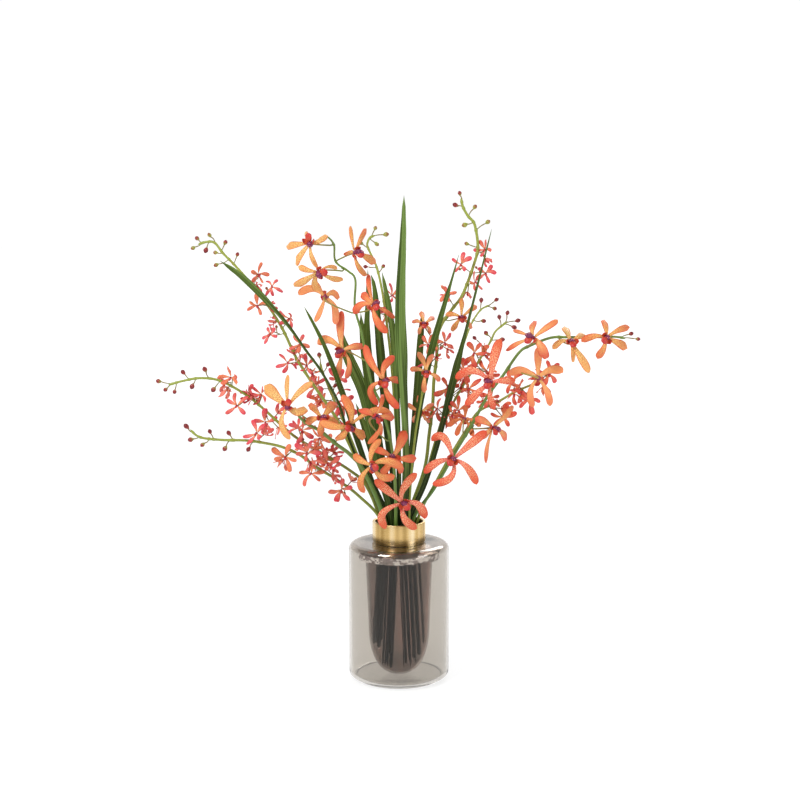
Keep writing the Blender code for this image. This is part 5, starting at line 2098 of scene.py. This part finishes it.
@dataclass
class Studio:
    """The pale floor, the soft lights and the camera of the photo."""

    camera_place: Point3 = (0.0015, -2.2, 0.71)
    camera_aim: Point3 = (0.0015, 0.0, 0.42)
    lens: float = 67.7
    sensor: float = 36.0
    floor_size: float = 40.0
    floor_drop: float = 0.4 * MM
    light_aim: Point3 = (0.0, 0.0, 0.35)
    lights: tuple[tuple[str, Point3, float, float, Point3], ...] = (
        ("key", (-1.5, -1.7, 2.4), 1.2, 62.0, (1.0, 0.98, 0.95)),
        ("fill", (2.1, -1.3, 1.0), 1.0, 15.0, (0.95, 0.98, 1.0)),
        ("rim", (0.8, 2.0, 1.8), 1.2, 24.0, (1.0, 1.0, 1.0)))

    def add(self, name: str, data: Any, spot: Sequence[float],
            aim: Sequence[float]) -> bpy.types.Object:
        """Add an object that looks from one place at another.

        Args:
            name: The object's name.
            data: Its light or camera.
            spot: Its place.
            aim: The place that it looks at.

        Returns:
            The object.
        """
        thing = bpy.data.objects.new(name, data)
        thing.location = spot
        look = Vector(aim) - Vector(spot)
        thing.rotation_euler = look.to_track_quat("-Z", "Y").to_euler()
        bpy.context.scene.collection.objects.link(thing)
        return thing

    def light(self, name: str, spot: Point3, size: float, power: float, colour: Point3) -> None:
        """Add a square soft light aimed at the flowers.

        Args:
            name: Its name.
            spot: Its place.
            size: The length of its side.
            power: Its power in watts.
            colour: Its colour.
        """
        lamp = bpy.data.lights.new(name, "AREA")
        lamp.shape = "SQUARE"
        lamp.size = size
        lamp.energy = power
        lamp.color = colour
        self.add(name, lamp, spot, self.light_aim)

    def surroundings(self) -> bpy.types.World:
        """White behind the flowers, dimmer beside them and in front.

        Returns:
            The world.
        """
        graph = Graph("surroundings", surroundings=True)
        source = graph.node("ShaderNodeTexCoord")
        _, depth, _ = graph.split(source.outputs["Generated"])
        tone = graph.mix(graph.behind(depth), DIM, BRIGHT)
        sky = graph.node("ShaderNodeBackground", None, {"Color": tone})
        graph.tree.links.new(sky.outputs[0], graph.output.inputs["Surface"])
        return graph.owner

    def build_floor(self, material: Material) -> None:
        """Lay the floor just under the vase's foot.

        Args:
            material: Its finish.
        """
        bm = bmesh.new()
        bmesh.ops.create_grid(bm, x_segments=2, y_segments=2, size=self.floor_size / 2)
        bmesh.ops.translate(bm, verts=bm.verts, vec=(0, 0, -self.floor_drop))
        mesh = bpy.data.meshes.new("floor")
        bm.to_mesh(mesh)
        bm.free()
        mesh.materials.append(material)
        ground = bpy.data.objects.new("floor", mesh)
        bpy.context.scene.collection.objects.link(ground)

    def build(self, floor_material: Material) -> None:
        """Set up the floor, the surroundings, the lights and the camera.

        Args:
            floor_material: The floor's finish.
        """
        self.build_floor(floor_material)
        bpy.context.scene.world = self.surroundings()
        for lamp in self.lights:
            self.light(*lamp)
        camera = bpy.data.cameras.new("camera")
        camera.lens = self.lens
        camera.sensor_width = self.sensor
        bpy.context.scene.camera = self.add("camera", camera, self.camera_place,
                                            self.camera_aim)
        view = bpy.context.scene.view_settings
        view.view_transform = "Standard"
        view.look = "None"


# Assembly

def make_finishes() -> Finishes:
    """Build every material of the plant and the vase.

    Returns:
        The materials by name.
    """
    listed = (
        PetalFinish(Tone.YELLOW_SPOTTED.value, srgb(240, 202, 122), srgb(240, 200, 124),
                    srgb(238, 174, 104), srgb(226, 126, 70), srgb(236, 190, 112),
                    srgb(196, 92, 44), 0.8, 2.1, 1.0, srgb(238, 172, 96)),
        PetalFinish(Tone.AMBER_SPOTTED.value, srgb(240, 192, 110), srgb(238, 168, 98),
                    srgb(230, 122, 74), srgb(216, 92, 56), srgb(234, 168, 98),
                    srgb(194, 72, 42), 0.65, 2.1, 1.0, srgb(238, 190, 104)),
        PetalFinish(Tone.CORAL_NETTED.value, srgb(228, 106, 104), srgb(228, 108, 78),
                    srgb(222, 86, 54), srgb(214, 70, 58), srgb(224, 114, 84),
                    srgb(248, 198, 152), 0.9, 2.2, 1.0, srgb(230, 116, 68)),
        PetalFinish(Tone.PEACH.value, srgb(242, 198, 122), srgb(238, 158, 102),
                    srgb(228, 108, 78), srgb(214, 82, 62), srgb(234, 160, 104),
                    srgb(216, 104, 66), 0.4, 2.1, 0.8, other=srgb(240, 176, 98)),
        PetalFinish(Tone.ORANGE.value, srgb(240, 172, 104), srgb(234, 132, 82),
                    srgb(222, 88, 58), srgb(208, 68, 50), srgb(232, 144, 92),
                    srgb(204, 70, 44), 0.5, 2.1, 0.8, other=srgb(236, 150, 80)),
        PetalFinish("small_coral", srgb(242, 178, 118), srgb(236, 122, 112),
                    srgb(222, 76, 90), srgb(208, 52, 74), srgb(238, 142, 122),
                    srgb(200, 46, 66), 0.35, other=srgb(240, 146, 92), shift=0.8),
        PetalFinish("small_orange", srgb(240, 174, 104), srgb(234, 128, 88),
                    srgb(218, 82, 66), srgb(204, 58, 58), srgb(234, 142, 98),
                    srgb(200, 54, 54), 0.35, other=srgb(228, 92, 92), shift=0.7),
        # The column's pale pink flecks are painted highlights.
        HeartFinish("column", srgb(146, 54, 92), srgb(104, 28, 72), srgb(196, 96, 140)),
        HeartFinish("lip", srgb(222, 104, 56), srgb(198, 36, 38), srgb(140, 24, 40)),
        HeartFinish("pollen", srgb(214, 120, 150), srgb(196, 84, 120), srgb(240, 190, 120)),
        HeartFinish("small_heart", srgb(190, 34, 48), srgb(140, 22, 40), srgb(232, 160, 76)),
        HeartFinish("small_lip", srgb(206, 38, 54), srgb(184, 26, 56), srgb(238, 140, 84)),
        StemFinish("green_stem", srgb(64, 104, 30), srgb(118, 148, 66), srgb(140, 112, 62),
                   0.2),
        StemFinish("olive_stem", srgb(110, 128, 36), srgb(156, 168, 68), srgb(160, 106, 54),
                   0.35),
        StemFinish("fine_stalk", srgb(122, 126, 56), srgb(142, 108, 60), srgb(156, 72, 56),
                   0.5),
        StemFinish("bloom_stalk", srgb(122, 138, 60), srgb(180, 140, 72), srgb(148, 86, 56),
                   0.4),
        # The leaves' dark foot is partly painted shade, and their pale band colour is painted
        # sheen, which the keel wears too.
        LeafFinish("strap_leaf", srgb(20, 31, 5), srgb(43, 61, 12), srgb(80, 103, 32),
                   srgb(122, 150, 76), srgb(42, 59, 17)),
        BudFinish("red_bud", srgb(146, 142, 58), srgb(158, 50, 44), srgb(122, 24, 30)),
        BudFinish("green_bud", srgb(146, 156, 62), srgb(162, 166, 68), srgb(150, 66, 42)),
        # The clear glass's second grey is the painted shade at its outline.
        ClearGlassFinish("clear_glass", srgb(215, 211, 205), srgb(178, 173, 166),
                         srgb(192, 183, 174)),
        SmokedGlassFinish("smoked_glass", (0.42, 0.38, 0.37, 1.0), (0.50, 0.45, 0.425, 1.0),
                          (0.62, 0.48, 0.45, 1.0), srgb(250, 246, 244),
                          srgb(148, 132, 132), 0.186),
        # The three brass tones make the painted reflection bands.
        BrassFinish("satin_brass", srgb(248, 228, 188), srgb(220, 186, 124),
                    srgb(162, 130, 74)),
        FloorFinish("pale_floor", srgb(140, 140, 140), NEAR_GLOW, FAR_GLOW, BRIGHT),
    )
    return {finish.name: finish.material() for finish in listed}


def main() -> None:
    """Build the vase, the leaves, the sprays and the blooms, and light them."""
    logging.basicConfig(level=logging.INFO, format="%(message)s")
    finishes = make_finishes()
    vase = Vase()
    vase.build_glass(finishes["clear_glass"])
    vase.build_vessel(finishes["smoked_glass"])
    vase.build_collar(finishes["satin_brass"])
    for name, row in LEAVES.items():
        StrapLeaf(name, row, vase).build(finishes["strap_leaf"])
    stems = {name: Stem(name, row, vase) for name, row in STEMS.items()}
    blooms = [Bloom(name, row, stems[row.spray]) for name, row in BLOOMS.items()]
    for name, stem in stems.items():
        stalked = [bloom for bloom in blooms if bloom.row.spray == name]
        Spray(name, stem, stalked).build(finishes)
    for bloom in blooms:
        bloom.build_petals([finishes[bloom.row.tone.value]])
        bloom.build_heart([finishes["column"], finishes["lip"], finishes["pollen"]])
        bloom.build_stalk(finishes["bloom_stalk"])
    Studio().build(finishes["pale_floor"])
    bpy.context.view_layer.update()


if __name__ == "__main__":
    main()
